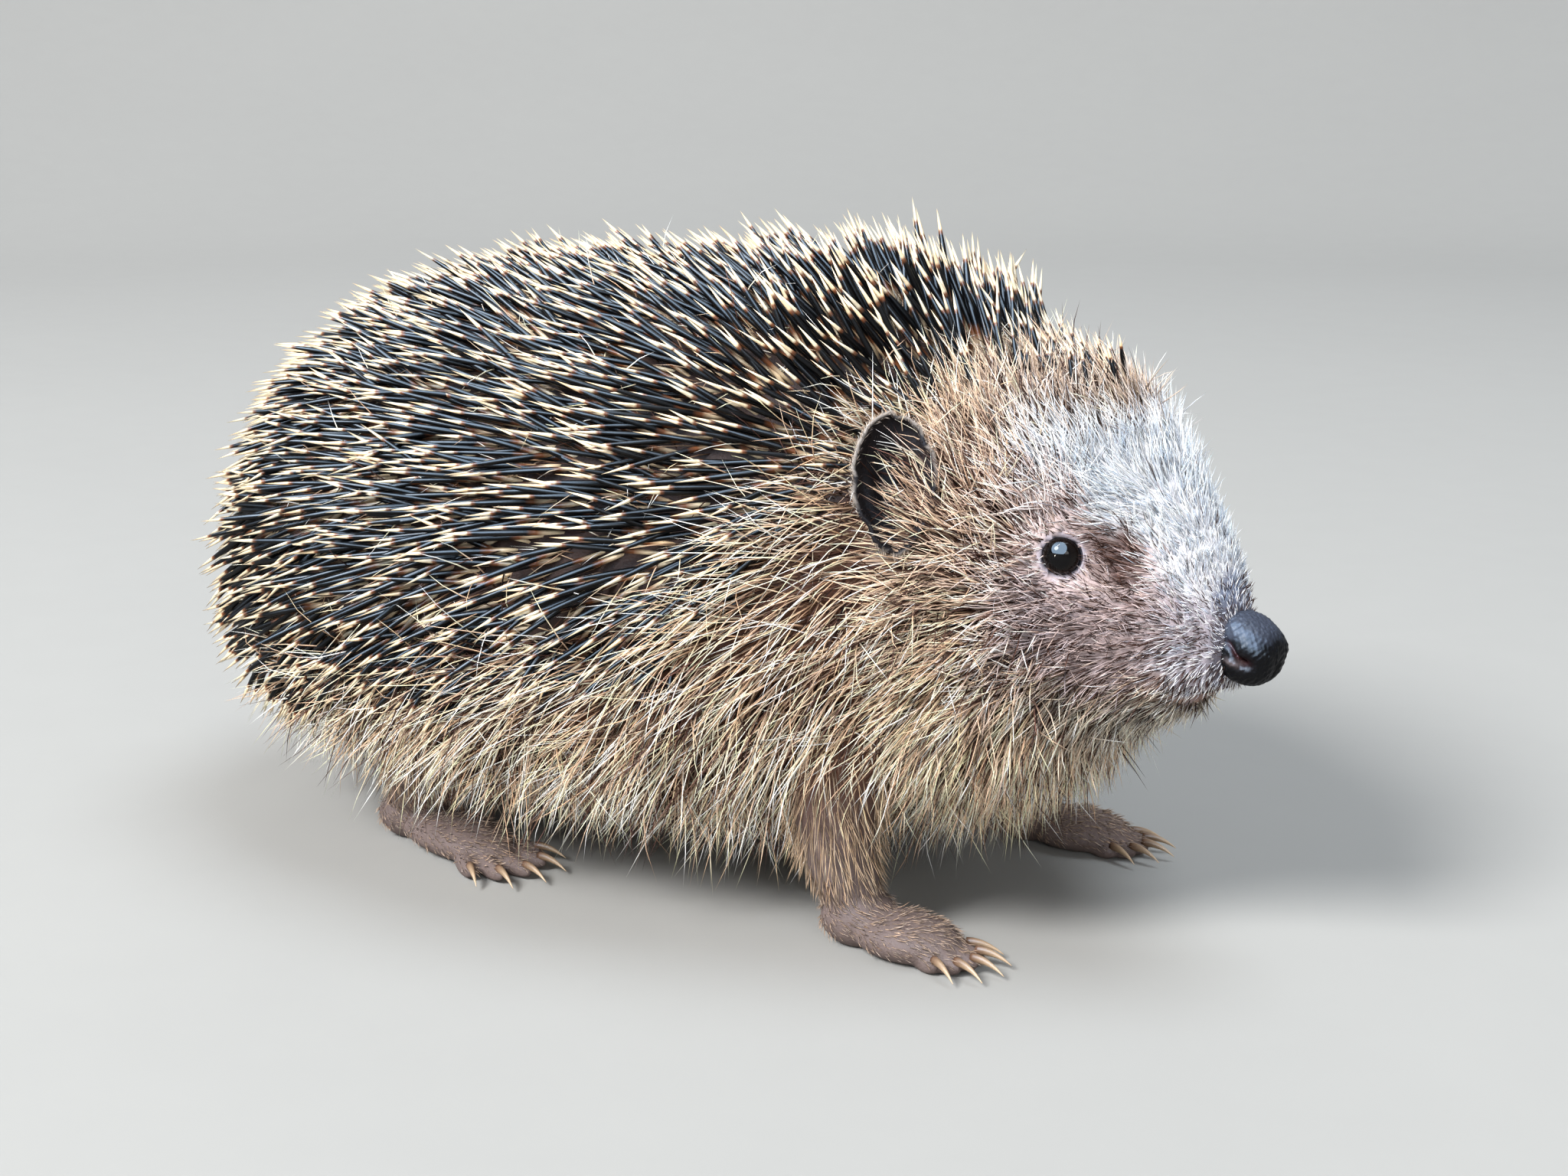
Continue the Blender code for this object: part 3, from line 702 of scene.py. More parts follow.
def regions(points):
    """How far each point belongs to each part of the pattern, from 0 to 1: the product of its
    eased edges, which a smooth wander shifts."""
    share, level = share_and_level(points)
    wander = ripple(points, 14 * MM, 11) + 0.5 * ripple(points, 4 * MM, 12)
    share = share + WANDER_SHARE * wander[:, 0]
    level = level + WANDER_LEVEL * wander[:, 1]
    knots = np.array(PALE_BAND_EDGE)
    measures = {"share": share, "level": level, "over": level - np.interp(share, knots[:, 0], knots[:, 1])}
    parts = {name: math.prod(smooth(measures[key], start, full) for key, start, full in edges)
             for name, edges in PATTERN.items()}
    parts["streak"] *= STREAK_PALE + (1 - STREAK_PALE) * bell((share - STREAK_DARKEST) / STREAK_REACH)
    return parts


def markings(points, colours):
    """The coat's colour at each point: blond, straw on the forehead, pale pinkish grey round the
    eye with a dark streak before it, a greyer muzzle, a pale chin and band and a browner belly."""
    colour = np.broadcast_to(np.array(colours.blond), points.shape).copy()
    for name, mask in regions(points).items():
        colour = blend(colour, np.array(getattr(colours, name)), mask)
    return colour


def dark_share(points):
    """How many of the hairs at each point are dark brown; the pale band has next to none."""
    parts = regions(points)
    most = DARK_HAIRS + sum(more * parts[name] for name, more in MORE_DARK_HAIRS.items())
    return np.clip(most * (1 - 0.92 * parts["band"]), 0.01, 0.8)


def skin_tint(points, colours):
    """The skin's colour: its own dark brown under the long coat, deepened there and most under the
    spines as painted shade of the coat over it, and pinkish on the face; bare ears, lids, lips and
    feet have their own, and the snout's top a painted bluish reflection of the sky."""
    share, side, height = straight(points)
    level = height / TALL
    parts = regions(points)
    tints = SKIN_COLOURS
    # Under the coat the brown is deepened as painted shade of the hairs over the skin.
    tint = np.broadcast_to(tints["body"], points.shape).copy()
    tint = blend(tint, tints["head"], smooth(share, 0.79, 0.84))
    for name in SKIN_PARTS:
        tint = blend(tint, tints[name], parts[name])
    # Painted shade: the skin under the spines turns near black-brown.
    tint = blend(tint, tints["under_spines"], smooth(above_spine_edge(share, level), -0.03, 0.03))
    tint = blend(tint, tints["feet"], smooth(height, 36 * MM, 12 * MM))
    tint = blend(tint, tints["snout"], smooth(share, 0.953, 0.961))
    # Painted reflection: the snout's top next to the pad turns bluish, as if it mirrored the sky.
    tint = blend(tint, tints["snout_top_sky_sheen"], smooth(share, 0.950, 0.958) * smooth(level, 0.515, 0.55))
    for name, sign in SIDES:
        local, reach = ear_local(points, name, sign)
        ear = smooth(np.abs(local[:, 0]), 7.2 * MM, 6.2 * MM) * (reach < 1.12)
        ear = ear * smooth(np.abs(side), 25.5 * MM, 27.5 * MM)
        tint = blend(tint, np.array(colours.ear), ear)
        tint = blend(tint, tints["ear_rim"], ear * smooth(reach, 0.955, 0.99) * 0.85)
        middle, radius, _ = eye_place(name, sign)
        away = np.linalg.norm(points - middle, axis=1) - radius
        tint = blend(tint, tints["lids"], 0.8 * smooth(away, 1.1 * MM, 0.6 * MM))
        tint = blend(tint, tints["lid_edge"], smooth(away, 0.42 * MM, 0.22 * MM))
    below = mouth_height(share) - height
    lip = bell((below - 1.5 * MM) / (1.2 * MM)) * smooth(share, 0.928, 0.940)
    tint = blend(tint, np.array(colours.lip), lip)
    line = bell(below / (0.5 * MM)) * smooth(share, MOUTH_BACK - 0.004, MOUTH_BACK + 0.010)
    return blend(tint, tints["mouth"], line)


# ---- Ears, legs, lids and tail: what joins the skin -----------------------------------------
EAR_YAW = math.radians(38)      # how far ears and eyes face away from straight ahead
EYE_YAW = math.radians(68)
EAR_PITCH = math.radians(-12)
EYE_PITCH = math.radians(-6)
NOSE_PITCH = math.radians(14)
EAR_ACROSS, EAR_UP = 0.31, 0.50         # an ear's half width and half height, in its solid's heights
EAR_BACK = 5.4 * MM                     # how far the ear's bowl reaches behind its rim
EAR_WALL = 0.7 * MM
EAR_PINCH = 0.25                        # how much narrower it is at its root
EYE_RADIUS = 0.475                      # in its solid's heights
LIDS_OPEN = math.radians(63)            # the lids' edge, from the eye's facing
LIDS_LONGER = math.radians(3.5)
LIDS_LOWER = math.radians(3)
LID_THICK = 0.42 * MM
LID_CORNER = 0.12 * MM                  # how much thicker the lids are at their highest and lowest


def ear_frame(side, sign):
    """An ear's middle, its turn (x out of the cup, y across, z up), and its half width and half
    height, from its solid's box."""
    middle, size = box_middle("ear_" + side)
    return middle, head_matrix(EAR_PITCH, sign * EAR_YAW), size[2] * EAR_ACROSS, size[2] * EAR_UP


def ear_local(points, side, sign):
    """Points as an ear sees them, with their distance from its middle line as reach: 1 at the rim."""
    middle, turn, across, up = ear_frame(side, sign)
    local = (points - middle) @ turn
    return local, np.sqrt((local[:, 1] / across) ** 2 + (local[:, 2] / up) ** 2)


def ear_cup(side, sign, island):
    """A cupped ear: a bowl turned from a profile of outer side, rim and inner side, then made
    taller than wide and pinched at its root; the rim waves a little."""
    middle, turn, across, up = ear_frame(side, sign)
    t = np.linspace(0.001, 0.999, 48)[:, None]
    around = full_turn(72)[None, :]
    swing = math.pi * t
    radius = np.sin(swing)
    outer = t < 0.5
    wall = np.where(outer, 0, EAR_WALL)
    depth = np.where(outer, -EAR_BACK * np.cos(swing), (EAR_BACK - 1.1 * EAR_WALL) * np.cos(swing))
    wave = 0.22 * MM * (np.sin(9 * around + sign) + 0.7 * np.sin(17 * around)) * radius ** 6
    fold = 1.5 * MM * radius ** 2 * np.cos(around) ** 2
    ridge = 0.5 * MM * np.sin(3.2 * math.pi * radius) * np.where(outer, 0, 1) * np.cos(around - 0.6)
    local = np.stack([depth + fold + ridge, (across - wall) * radius * np.cos(around) + wave,
                      (up - wall) * radius * np.sin(around) + wave], -1)
    local[..., 1] *= 1 - EAR_PINCH * smooth(local[..., 2], 0.0, -up)
    return closed_sheet("ear_part_" + side, middle + local @ turn.T, island)


def eye_place(side, sign):
    """An eye's middle, its radius and its facing: x out of the head."""
    middle, size = box_middle("eye_" + side)
    return middle, size[2] * EYE_RADIUS, head_matrix(EYE_PITCH, sign * EYE_YAW)


def lid_ring(side, sign, island):
    """The lids: a ring that hugs the eyeball, its opening a little longer than high and
    lowest at the front corner; thick where it meets the face."""
    middle, radius, turn = eye_place(side, sign)
    around = full_turn(72)[:, None]
    profile = full_turn(14)[None, :]
    opening = LIDS_OPEN + LIDS_LONGER * np.cos(2 * around) - LIDS_LOWER * np.sin(around)
    thick = LID_THICK + LID_CORNER * np.abs(np.sin(around))
    reach = radius + 0.12 * MM + thick * (0.75 + np.cos(profile) * 0.8)
    tilt = opening + (0.10 + thick / radius) + np.sin(profile) * 0.16
    local = np.stack([reach * np.cos(tilt), reach * np.sin(tilt) * np.cos(around) * -sign,
                      reach * np.sin(tilt) * np.sin(around)], -1)
    return wrapped_ring("lid_part_" + side, middle + local @ turn.T, island)


class Limb(typing.NamedTuple):
    """A leg and its foot on one side, in millimetres and degrees."""
    name: str
    hip: tuple
    knee: tuple
    ankle: tuple
    aim: float                  # how far the foot turns out
    length: float
    width: float
    radii: tuple                # of the leg at hip, knee and ankle


LIMBS = (
    Limb("front", (43, 26, 36), (36, 32, 22), (45, 31, 5.5), 4, 27, 15.5, (10.0, 7.6, 4.6)),
    Limb("hind", (-54, 30, 36), (-40, 38, 26), (-55, 34, 5.5), 12, 40, 15.0, (14.5, 10.6, 4.8)),
)
TOES = 5
TOE_SPREAD = math.radians(26)
TOE_RADIUS = 2.1
TOE_MIDDLE = 0.72               # where a toe's middle and its half length lie, in shares of its reach
TOE_HALF = 0.355
KNUCKLE_AT = 0.55
PALM_AT = 0.36                  # the palm's middle, in shares of the foot's length
SOLE_ROOM = 0.15 * MM           # how far the soles stay above the floor


def ball_grid(centre, radii, heading, rows=12, columns=20):
    """An ellipsoid as a grid of points, its long way turned to a heading."""
    up = np.linspace(0.02, math.pi - 0.02, rows)[:, None]
    around = full_turn(columns)[None, :]
    local = np.stack([radii[0] * np.sin(up) * np.cos(around), radii[1] * np.sin(up) * np.sin(around),
                      -radii[2] * np.cos(up) + 0 * around], -1)
    c, s = math.cos(heading), math.sin(heading)
    return np.array(centre) + local @ np.array([[c, s, 0], [-s, c, 0], [0, 0, 1]])


def ray(angle):
    """A direction along the floor."""
    return np.array([math.cos(angle), math.sin(angle), 0])


def toe_rays(limb, sign):
    """Each toe's root on the floor, heading and reach: rays that fan out from the palm, the outer
    ones shorter."""
    heading = sign * math.radians(limb.aim)
    palm = limb.length * PALM_AT * 0.9
    root = np.array([limb.ankle[0], sign * limb.ankle[1], 0]) + palm * ray(heading)
    reach = limb.length * 0.94 - palm - TOE_RADIUS
    for i in range(TOES):
        share = i / (TOES - 1) * 2 - 1
        yield root, heading + sign * share * TOE_SPREAD, reach * (1 - 0.22 * share * share)


def bent_tube(limb, sign):
    """The leg: circles along a quadratic curve from hip by knee to ankle."""
    hip, knee, ankle = (np.array([p[0], sign * p[1], p[2]], float) for p in (limb.hip, limb.knee, limb.ankle))
    t = np.linspace(0, 1, 16)[:, None]
    shares = (1 - t) ** 2, 2 * t * (1 - t), t**2
    centre = sum(share * joint for share, joint in zip(shares, (hip, knee, ankle)))
    radius = sum(share * joint for share, joint in zip(shares, limb.radii))
    down = unit((1 - t) * (knee - hip) + t * (ankle - knee))
    across = unit(np.array([0, 1, 0]) - down * down[:, 1:2])
    other = np.cross(down, across)
    around = full_turn(24)[None, :, None]
    circle = np.cos(around) * across[:, None] + np.sin(around) * other[:, None]
    return centre[:, None] + radius[:, None] * circle


def limb_part(limb, sign, island):
    """A leg and its foot as one closed form: balls and a bent tapering tube, merged by voxels."""
    heading = sign * math.radians(limb.aim)
    ground = np.array([limb.ankle[0], sign * limb.ankle[1], 0])
    palm = ground + ray(heading) * limb.length * PALM_AT + [0, 0, 3.1]
    grids = [bent_tube(limb, sign),
             ball_grid(palm, (limb.length * 0.39, limb.width / 2 - 0.4, 3.9), heading),
             ball_grid(ground + [0, 0, 4.3], (6.9, 6.4, 5.2), heading)]
    for root, turn, reach in toe_rays(limb, sign):
        toe = root + ray(turn) * reach * TOE_MIDDLE + [0, 0, 1.6]
        knuckle = root + ray(turn) * reach * KNUCKLE_AT + [0, 0, 3.0]
        grids.append(ball_grid(toe, (reach * TOE_HALF, TOE_RADIUS - 0.25, TOE_RADIUS), turn, 10, 14))
        grids.append(ball_grid(knuckle, (2.6, 1.7, 1.7), turn, 10, 14))
    pieces = [closed_sheet(f"{limb.name}_{i}", grid * MM, island) for i, grid in enumerate(grids)]
    whole = joined(pieces, f"{limb.name}_limb_{sign}")
    remesh = whole.modifiers.new("Merge", "REMESH")
    remesh.mode, remesh.voxel_size = "VOXEL", 0.6 * MM
    soften = whole.modifiers.new("Soften", "SMOOTH")
    soften.factor, soften.iterations = 0.5, 3
    applied(whole)
    points = read(whole.data.vertices, "co", 3)
    points[:, 2] = np.maximum(points[:, 2], SOLE_ROOM)
    whole.data.vertices.foreach_set("co", points.ravel())
    map_limb(whole.data, points, island)
    return whole


def map_limb(mesh, points, island):
    """Gives a limb a map of its own: along it by x, round it by the angle about its middle."""
    low, high = points.min(0), points.max(0)
    middle = (low + high) / 2
    turn = np.arctan2(points[:, 2] - middle[2], points[:, 1] - middle[1]) / (2 * math.pi) + 0.5
    uv = on_island(island, (points[:, 0] - low[0]) / (high[0] - low[0]), turn)
    corners = read(mesh.loops, "vertex_index", 1, np.int32).ravel()
    layer = mesh.uv_layers.get(MAP) or mesh.uv_layers.new(name=MAP)
    layer.data.foreach_set("uv", uv[corners].astype(np.float32).ravel())


def tail_part(island):
    """The short tail: a tapering tube with a round tip."""
    low, high = (np.array(corner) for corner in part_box("tail"))
    tip = np.array([low[0] + 1.8 * MM, 0, low[2] + 1.2 * MM])
    root = np.array([high[0] + 9 * MM, 0, high[2] + 9 * MM])
    t = np.linspace(0, 1, 14)[:, None, None]
    around = full_turn(18)[None, :, None]
    across = np.array([0, 1.0, 0])
    other = np.cross(unit(tip - root), across)
    radius = 3.4 * MM * np.sqrt(1 - (0.98 * t) ** 4) * (1 - 0.35 * t)
    grid = root + (tip - root) * t + radius * (np.cos(around) * across + np.sin(around) * other)
    return closed_sheet("tail_part", grid, island)


# ---- Roots: where hairs stand ---------------------------------------------------------------
BODY_MAP = ((0.004, 0.004), (0.996, 0.800))
SMALL_MAPS = {                  # the map's islands for what joins the body
    "front_right": ((0.004, 0.82), (0.12, 0.996)), "front_left": ((0.13, 0.82), (0.25, 0.996)),
    "hind_right": ((0.26, 0.82), (0.40, 0.996)), "hind_left": ((0.41, 0.82), (0.55, 0.996)),
    "ear_right": ((0.56, 0.82), (0.68, 0.996)), "ear_left": ((0.69, 0.82), (0.81, 0.996)),
    "lid_right": ((0.82, 0.82), (0.86, 0.90)), "lid_left": ((0.82, 0.91), (0.86, 0.996)),
    "tail": ((0.88, 0.82), (0.996, 0.996)),
}
DRAWN_PER_ROOT = 4              # places drawn for each root that is wanted
CELL_KEYS = (73856093, 19349663, 83492791)      # large primes that tell cells of space apart
HAIR_PATCH = 0.003              # the size of each hair's own patch of the map
FLOOR_ROOM = 0.8 * MM           # how far above the floor a hair or a spine ends
LEAST_LENGTH = 0.3 * MM
LEAST_FALL = 0.05
SKIN = {}                       # the finished skin's arrays, which the coat grows on


def in_island(uv, *names):
    """Which map points lie in the named islands."""
    found = np.zeros(len(uv), bool)
    for name in names:
        (u_low, v_low), (u_high, v_high) = SMALL_MAPS[name]
        found |= (uv[:, 0] >= u_low) & (uv[:, 0] <= u_high) & (uv[:, 1] >= v_low) & (uv[:, 1] <= v_high)
    return found


def on_body(uv):
    """Which map points lie in the body's part of the map."""
    return uv[:, 1] <= BODY_MAP[1][1] + 0.001


def scatter(skin, count, weigh, seed, gap):
    """Roots on the skin: triangles drawn by area times a weight, a place in each at random, then
    thinned so that few stand closer than the gap. Returns point, normal and map point."""
    rng = np.random.default_rng(seed)
    points, normals, triangles, uv = skin
    a, b, c = (points[triangles[:, i]] for i in range(3))
    area = np.linalg.norm(np.cross(b - a, c - a), axis=1)
    total = np.cumsum(area * weigh((a + b + c) / 3, uv.mean(1)))
    drawn = np.searchsorted(total, rng.uniform(0, total[-1], count * DRAWN_PER_ROOT))
    r1, r2 = np.sqrt(rng.uniform(0, 1, len(drawn))), rng.uniform(0, 1, len(drawn))
    shares = np.stack([1 - r1, r1 * (1 - r2), r1 * r2], -1)[..., None]
    corner = triangles[drawn]
    place = (points[corner] * shares).sum(1)
    normal = unit((normals[corner] * shares).sum(1))
    on_map = (uv[drawn] * shares).sum(1)
    keep = np.arange(len(drawn))
    for offset in (0.0, 0.5):
        cell = np.floor(place[keep] / gap + offset).astype(np.int64) * CELL_KEYS
        _, first = np.unique(np.bitwise_xor.reduce(cell, axis=1), return_index=True)
        keep = keep[np.sort(first)]
    keep = keep[:count]
    return place[keep], normal[keep], on_map[keep]


def share_out(roots, pieces):
    """Splits roots into like pieces, every piece spread over the whole body."""
    return [tuple(values[i::pieces] for values in roots) for i in range(pieces)]


def lie_of_coat(points, normals, droop):
    """The way the coat lies: along the skin and away from the nose, for the body away from a
    point between the eyes, and drawn down by droop."""
    share, level = share_and_level(points)
    nose, _ = box_middle("nose")
    behind = smooth(share, 0.90, 0.74)[:, None]
    away = unit(points - nose - np.array([-34, 0, 12]) * MM * behind)
    up = smooth(level, 0.55, 0.66) * smooth(share, 0.735, 0.765) * smooth(share, 0.885, 0.850)
    away[:, 2] += 0.75 * up - droop
    return unit(along_skin(away, normals))


def drift(rng, vectors, amount):
    """Directions thrown off by a random vector of the given size."""
    return unit(vectors + rng.normal(size=vectors.shape) * np.reshape(amount, (-1, 1)))


def raised(lie, normal, lift):
    """Directions along the skin, raised from it by an angle: lie cos + normal sin."""
    return lie * np.cos(lift)[:, None] + normal * np.sin(lift)[:, None]


def above_floor(place, first, pull, length, rings):
    """Shortens what would reach the floor: its fall is the mean of its steps' falls, the same
    steps as grow takes."""
    falls = [-unit(first + pull * (k / rings))[:, 2] for k in range(rings)]
    room = np.maximum(place[:, 2] - FLOOR_ROOM, LEAST_LENGTH)
    return np.minimum(length, room / np.maximum(np.mean(falls, 0), LEAST_FALL))


def shaft_faces(rings, sides):
    """The faces of one closed shaft whose last point is its tip, their sizes, and each corner's
    place on the shaft's patch of the map."""
    loops, at_row, at_column = sheet_faces(rings, sides)
    ring = np.arange(sides)
    last = (rings - 1) * sides
    tip = np.stack([last + ring, last + (ring + 1) % sides, np.full(sides, rings * sides)], -1).ravel()
    tip_columns = np.stack([ring, ring + 1, ring + 0.5], -1).ravel()
    loops = np.concatenate([loops, tip, ring[::-1]])
    at_row = np.concatenate([at_row, np.tile([rings - 1, rings - 1, rings], sides), np.zeros(sides)])
    at_column = np.concatenate([at_column, tip_columns, ring[::-1]])
    counts = np.concatenate([np.full(sides * (rings - 1), 4), np.full(sides, 3), [sides]])
    return loops, counts, np.stack([at_column / sides, at_row / rings], -1) - 0.5


def grow(name, kind, roots, first, pull, length, width, look, tint=None, along=None, shade=None):
    """Many closed tapering shafts in one mesh. Each follows its first direction, bent more and
    more by its pull; the kind's profile is its thickness at each ring from root to the point at
    its tip. Roots start a little inside the skin."""
    place, normal, on_map = roots
    count, rings, sides = len(place), len(kind.profile), kind.sides
    ways = [unit(first + pull * (k / rings)) for k in range(rings)]
    centres = [place - normal * kind.depth * MM]
    for way in ways:
        centres.append(centres[-1] + way * (length / rings)[:, None])
    side = unit(np.cross(ways[0], normal) + 1e-9)
    body = np.empty((count, rings * sides + 1, 3))
    for k in range(rings):
        up = np.cross(side, ways[k])
        radius = (width * kind.profile[k] / 2)[:, None]
        for j in range(sides):
            turn = 2 * math.pi * j / sides
            body[:, k * sides + j] = centres[k] + radius * (math.cos(turn) * side + math.sin(turn) * up)
    body[:, -1] = centres[-1]
    loops, counts, patch = shaft_faces(rings, sides)
    offsets = np.arange(count)[:, None] * (rings * sides + 1)
    uv = np.clip(on_map[:, None, :] + HAIR_PATCH * patch[None], 0.0005, 0.9995)
    at = np.concatenate([np.repeat(np.linspace(0, 1, rings + 1)[:rings], sides), [1.0]])
    attributes = {}
    if tint is not None:
        attributes["tint"] = tint(at).reshape(-1, 3)
    if along is not None:
        attributes["along"] = along(at).ravel()
    if shade is not None:
        attributes["shade"] = np.repeat(shade[:, None], len(at), 1).reshape(-1, 3)
    made = to_object(name, body.reshape(-1, 3), (loops[None] + offsets).ravel(), np.tile(counts, count),
                     uv=uv.reshape(-1, 2), attributes=attributes, look=look)
    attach(made, "root")
    return made


# ---- Skin, eyes, nose and claws -------------------------------------------------------------
SKIN_ROWS, SKIN_COLUMNS = 284, 200
EYE_SWELL = 0.035
PUPIL, IRIS = srgb(6, 5, 6), srgb(17, 12, 10)
NOSE_SQUARE = 2.45              # how squarish the pad is: 2 would be round
NOSE_FILL = np.array([0.475, 0.48, 0.485])      # its half sizes, in shares of its solid's sizes
NOSE_TOP = np.array([-1.4, 0, 1.2]) * MM        # how far its top runs up into the bridge
NOSE_DENTS = {                  # how deep each form lies in the pad, in millimetres
    "hole": 1.7, "slit": 0.95, "groove": 0.6, "wing": -0.45, "bridge": -0.35, "flat": 0.35,
}
NOSE_PEBBLES = 0.040
NOSE_BLACK, NOSE_INSIDE = srgb(8, 7, 9), srgb(60, 30, 30)
# NOSE_WING is the pale wing round each nostril; the bluish second colour is a painted reflection of the sky
# on the pad's top.
NOSE_WING, NOSE_SKY_SHEEN = srgb(104, 94, 96), srgb(58, 63, 76)
CLAW_ROWS, CLAW_COLUMNS = 12, 10
CLAW_HEIGHT = 2.7               # where claws start, how far they run and how they fall, millimetres
CLAW_RUN = 6.6
CLAW_RISE, CLAW_FALL = 0.9, 2.6
CLAW_THICK = 0.84
CLAW_START = 0.72               # in shares of the toe's half length, from its middle


def build_skin(context):
    """One closed skin: the body's surface with legs, feet, ears, tail and lids merged into it."""
    fine = np.linspace(SKIN_SECTIONS[0, 0], SKIN_SECTIONS[-1, 0], 2000)
    run = np.cumsum(1 + 3.2 * smooth(fine, 0.78, 0.84) + 4 * smooth(fine, 0.06, 0.042))
    share = np.interp(np.linspace(run[0], run[-1], SKIN_ROWS), run, fine)
    angle = np.linspace(-math.pi / 2, 3 * math.pi / 2, SKIN_COLUMNS, endpoint=False)
    grid = body_surface(*np.meshgrid(share, angle, indexing="ij"))
    skin = outward(closed_sheet("skin", grid, BODY_MAP))
    parts = []
    for side, sign in SIDES:
        parts.append(ear_cup(side, sign, SMALL_MAPS["ear_" + side]))
        parts.append(lid_ring(side, sign, SMALL_MAPS["lid_" + side]))
        for limb in LIMBS:
            parts.append(limb_part(limb, sign, SMALL_MAPS[f"{limb.name}_{side}"]))
    parts.append(tail_part(SMALL_MAPS["tail"]))
    extra = joined([outward(part) for part in parts], "skin_parts")
    union = skin.modifiers.new("Merge", "BOOLEAN")
    union.operation, union.solver, union.object = "UNION", "MANIFOLD", extra
    applied(skin)
    bpy.data.objects.remove(extra, do_unlink=True)
    mesh = skin.data
    add_attribute(mesh, "tint", skin_tint(read(mesh.vertices, "co", 3), context.scene.hedgehog_colours))
    mesh.shade_smooth()
    dressed(skin, skin_material())
    SKIN["arrays"] = arrays_of(mesh)
    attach(skin, "root")
    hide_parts("rump", "trunk", "neck", "head", "lower_jaw", "ear_right", "ear_left", "tail",
                *[f"{limb}_{part}_{side}" for limb in ("front", "hind") for part in ("leg", "foot")
                  for side in ("right", "left")])


def build_eyes(context):
    """Two bead eyes: balls that swell a little in front, with a ring of iris round the pupil."""
    look = eye_material()
    ways = ball_ways(40, 64)
    ahead = ways[..., 0]
    swell = 1 + EYE_SWELL * smooth(ahead, 0.35, 0.95)
    iris = smooth(ahead, 0.86, 0.78) * smooth(ahead, 0.40, 0.55)
    tint = with_poles(blend(np.broadcast_to(PUPIL, ways.shape), IRIS, iris))
    for side, sign in SIDES:
        middle, radius, turn = eye_place(side, sign)
        local = radius * swell[..., None] * ways
        eye = outward(closed_sheet("eyeball_" + side, middle + local @ turn.T, ((0, 0), (1, 1)), look=look,
                                   attributes={"tint": tint}))
        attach(eye, "root")
        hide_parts("eye_" + side)


def nose_forms(x, y, z):
    """The forms in the pad's front, each a bell curve or eased step of the direction from its
    middle: the nostrils' holes, their slits that bend up to the side, the groove between them,
    the wings round them, the bridge and the flat above."""
    aside = np.degrees(np.arctan2(np.abs(y), x))            # 0 straight ahead, 90 to the side
    bend = -0.04 + 0.34 * smooth(aside, 72, 110)
    return {
        "hole": bell((aside - 70) / 11, (z + 0.04) / 0.15),
        "slit": bell((z - bend) / 0.085) * smooth(aside, 62, 76) * smooth(aside, 122, 108),
        "groove": bell(aside / 5.5) * smooth(z, 0.30, -0.2),
        "wing": bell((aside - 90) / 15, (z + 0.16) / 0.10),
        "bridge": bell((aside - 55) / 26, (z - 0.30) / 0.20),
        "flat": smooth(z, 0.55, 0.95) * smooth(x, 0.8, 0.2),
    }


def build_nose(context):
    """The nose pad: a squarish ball, dented by two comma-shaped nostrils and a groove in front;
    black and paler at the wings, with a painted bluish reflection of the sky on its top."""
    middle, size = box_middle("nose")
    ways = ball_ways(120, 160)
    x, y, z = np.moveaxis(ways, -1, 0)
    fuller = (np.abs(ways) ** NOSE_SQUARE).sum(-1, keepdims=True) ** (-1 / NOSE_SQUARE)
    rise = smooth(z, 0.05, 0.85) * smooth(x, 0.80, 0.05)
    local = ways * fuller * size * NOSE_FILL + rise[..., None] * NOSE_TOP
    forms = nose_forms(x, y, z)
    sink = sum(deep * forms[name] for name, deep in NOSE_DENTS.items())
    pebble = ripple(local.reshape(-1, 3), 0.9 * MM, 5)[:, 0].reshape(x.shape)
    local = local - ways * (sink - NOSE_PEBBLES * pebble * (1 - forms["hole"]))[..., None] * MM
    tint = np.broadcast_to(NOSE_BLACK, local.shape)
    tint = blend(tint, NOSE_INSIDE, np.clip(0.9 * forms["slit"] + 0.5 * forms["hole"], 0, 1))
    tint = blend(tint, NOSE_WING, 0.8 * np.clip(forms["wing"], 0, 1))
    # Painted reflection: the pad's top is tinted bluish as if it mirrored the sky, over the leather's real
    # gloss.
    patchy = ripple(local.reshape(-1, 3), 2.6 * MM, 6)[:, 0].reshape(x.shape)
    wet = smooth(z + 0.25 * (0.3 - x) + 0.07 * patchy, 0.34, 0.66) * smooth(x, 0.88, 0.40)
    tint = blend(tint, NOSE_SKY_SHEEN, 0.9 * wet)
    nose = outward(closed_sheet("nose_pad", middle + local @ head_matrix(NOSE_PITCH).T, ((0, 0), (1, 1)),
                                look=nose_material(), attributes={"tint": with_poles(tint)}))
    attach(nose, "root")
    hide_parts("nose")


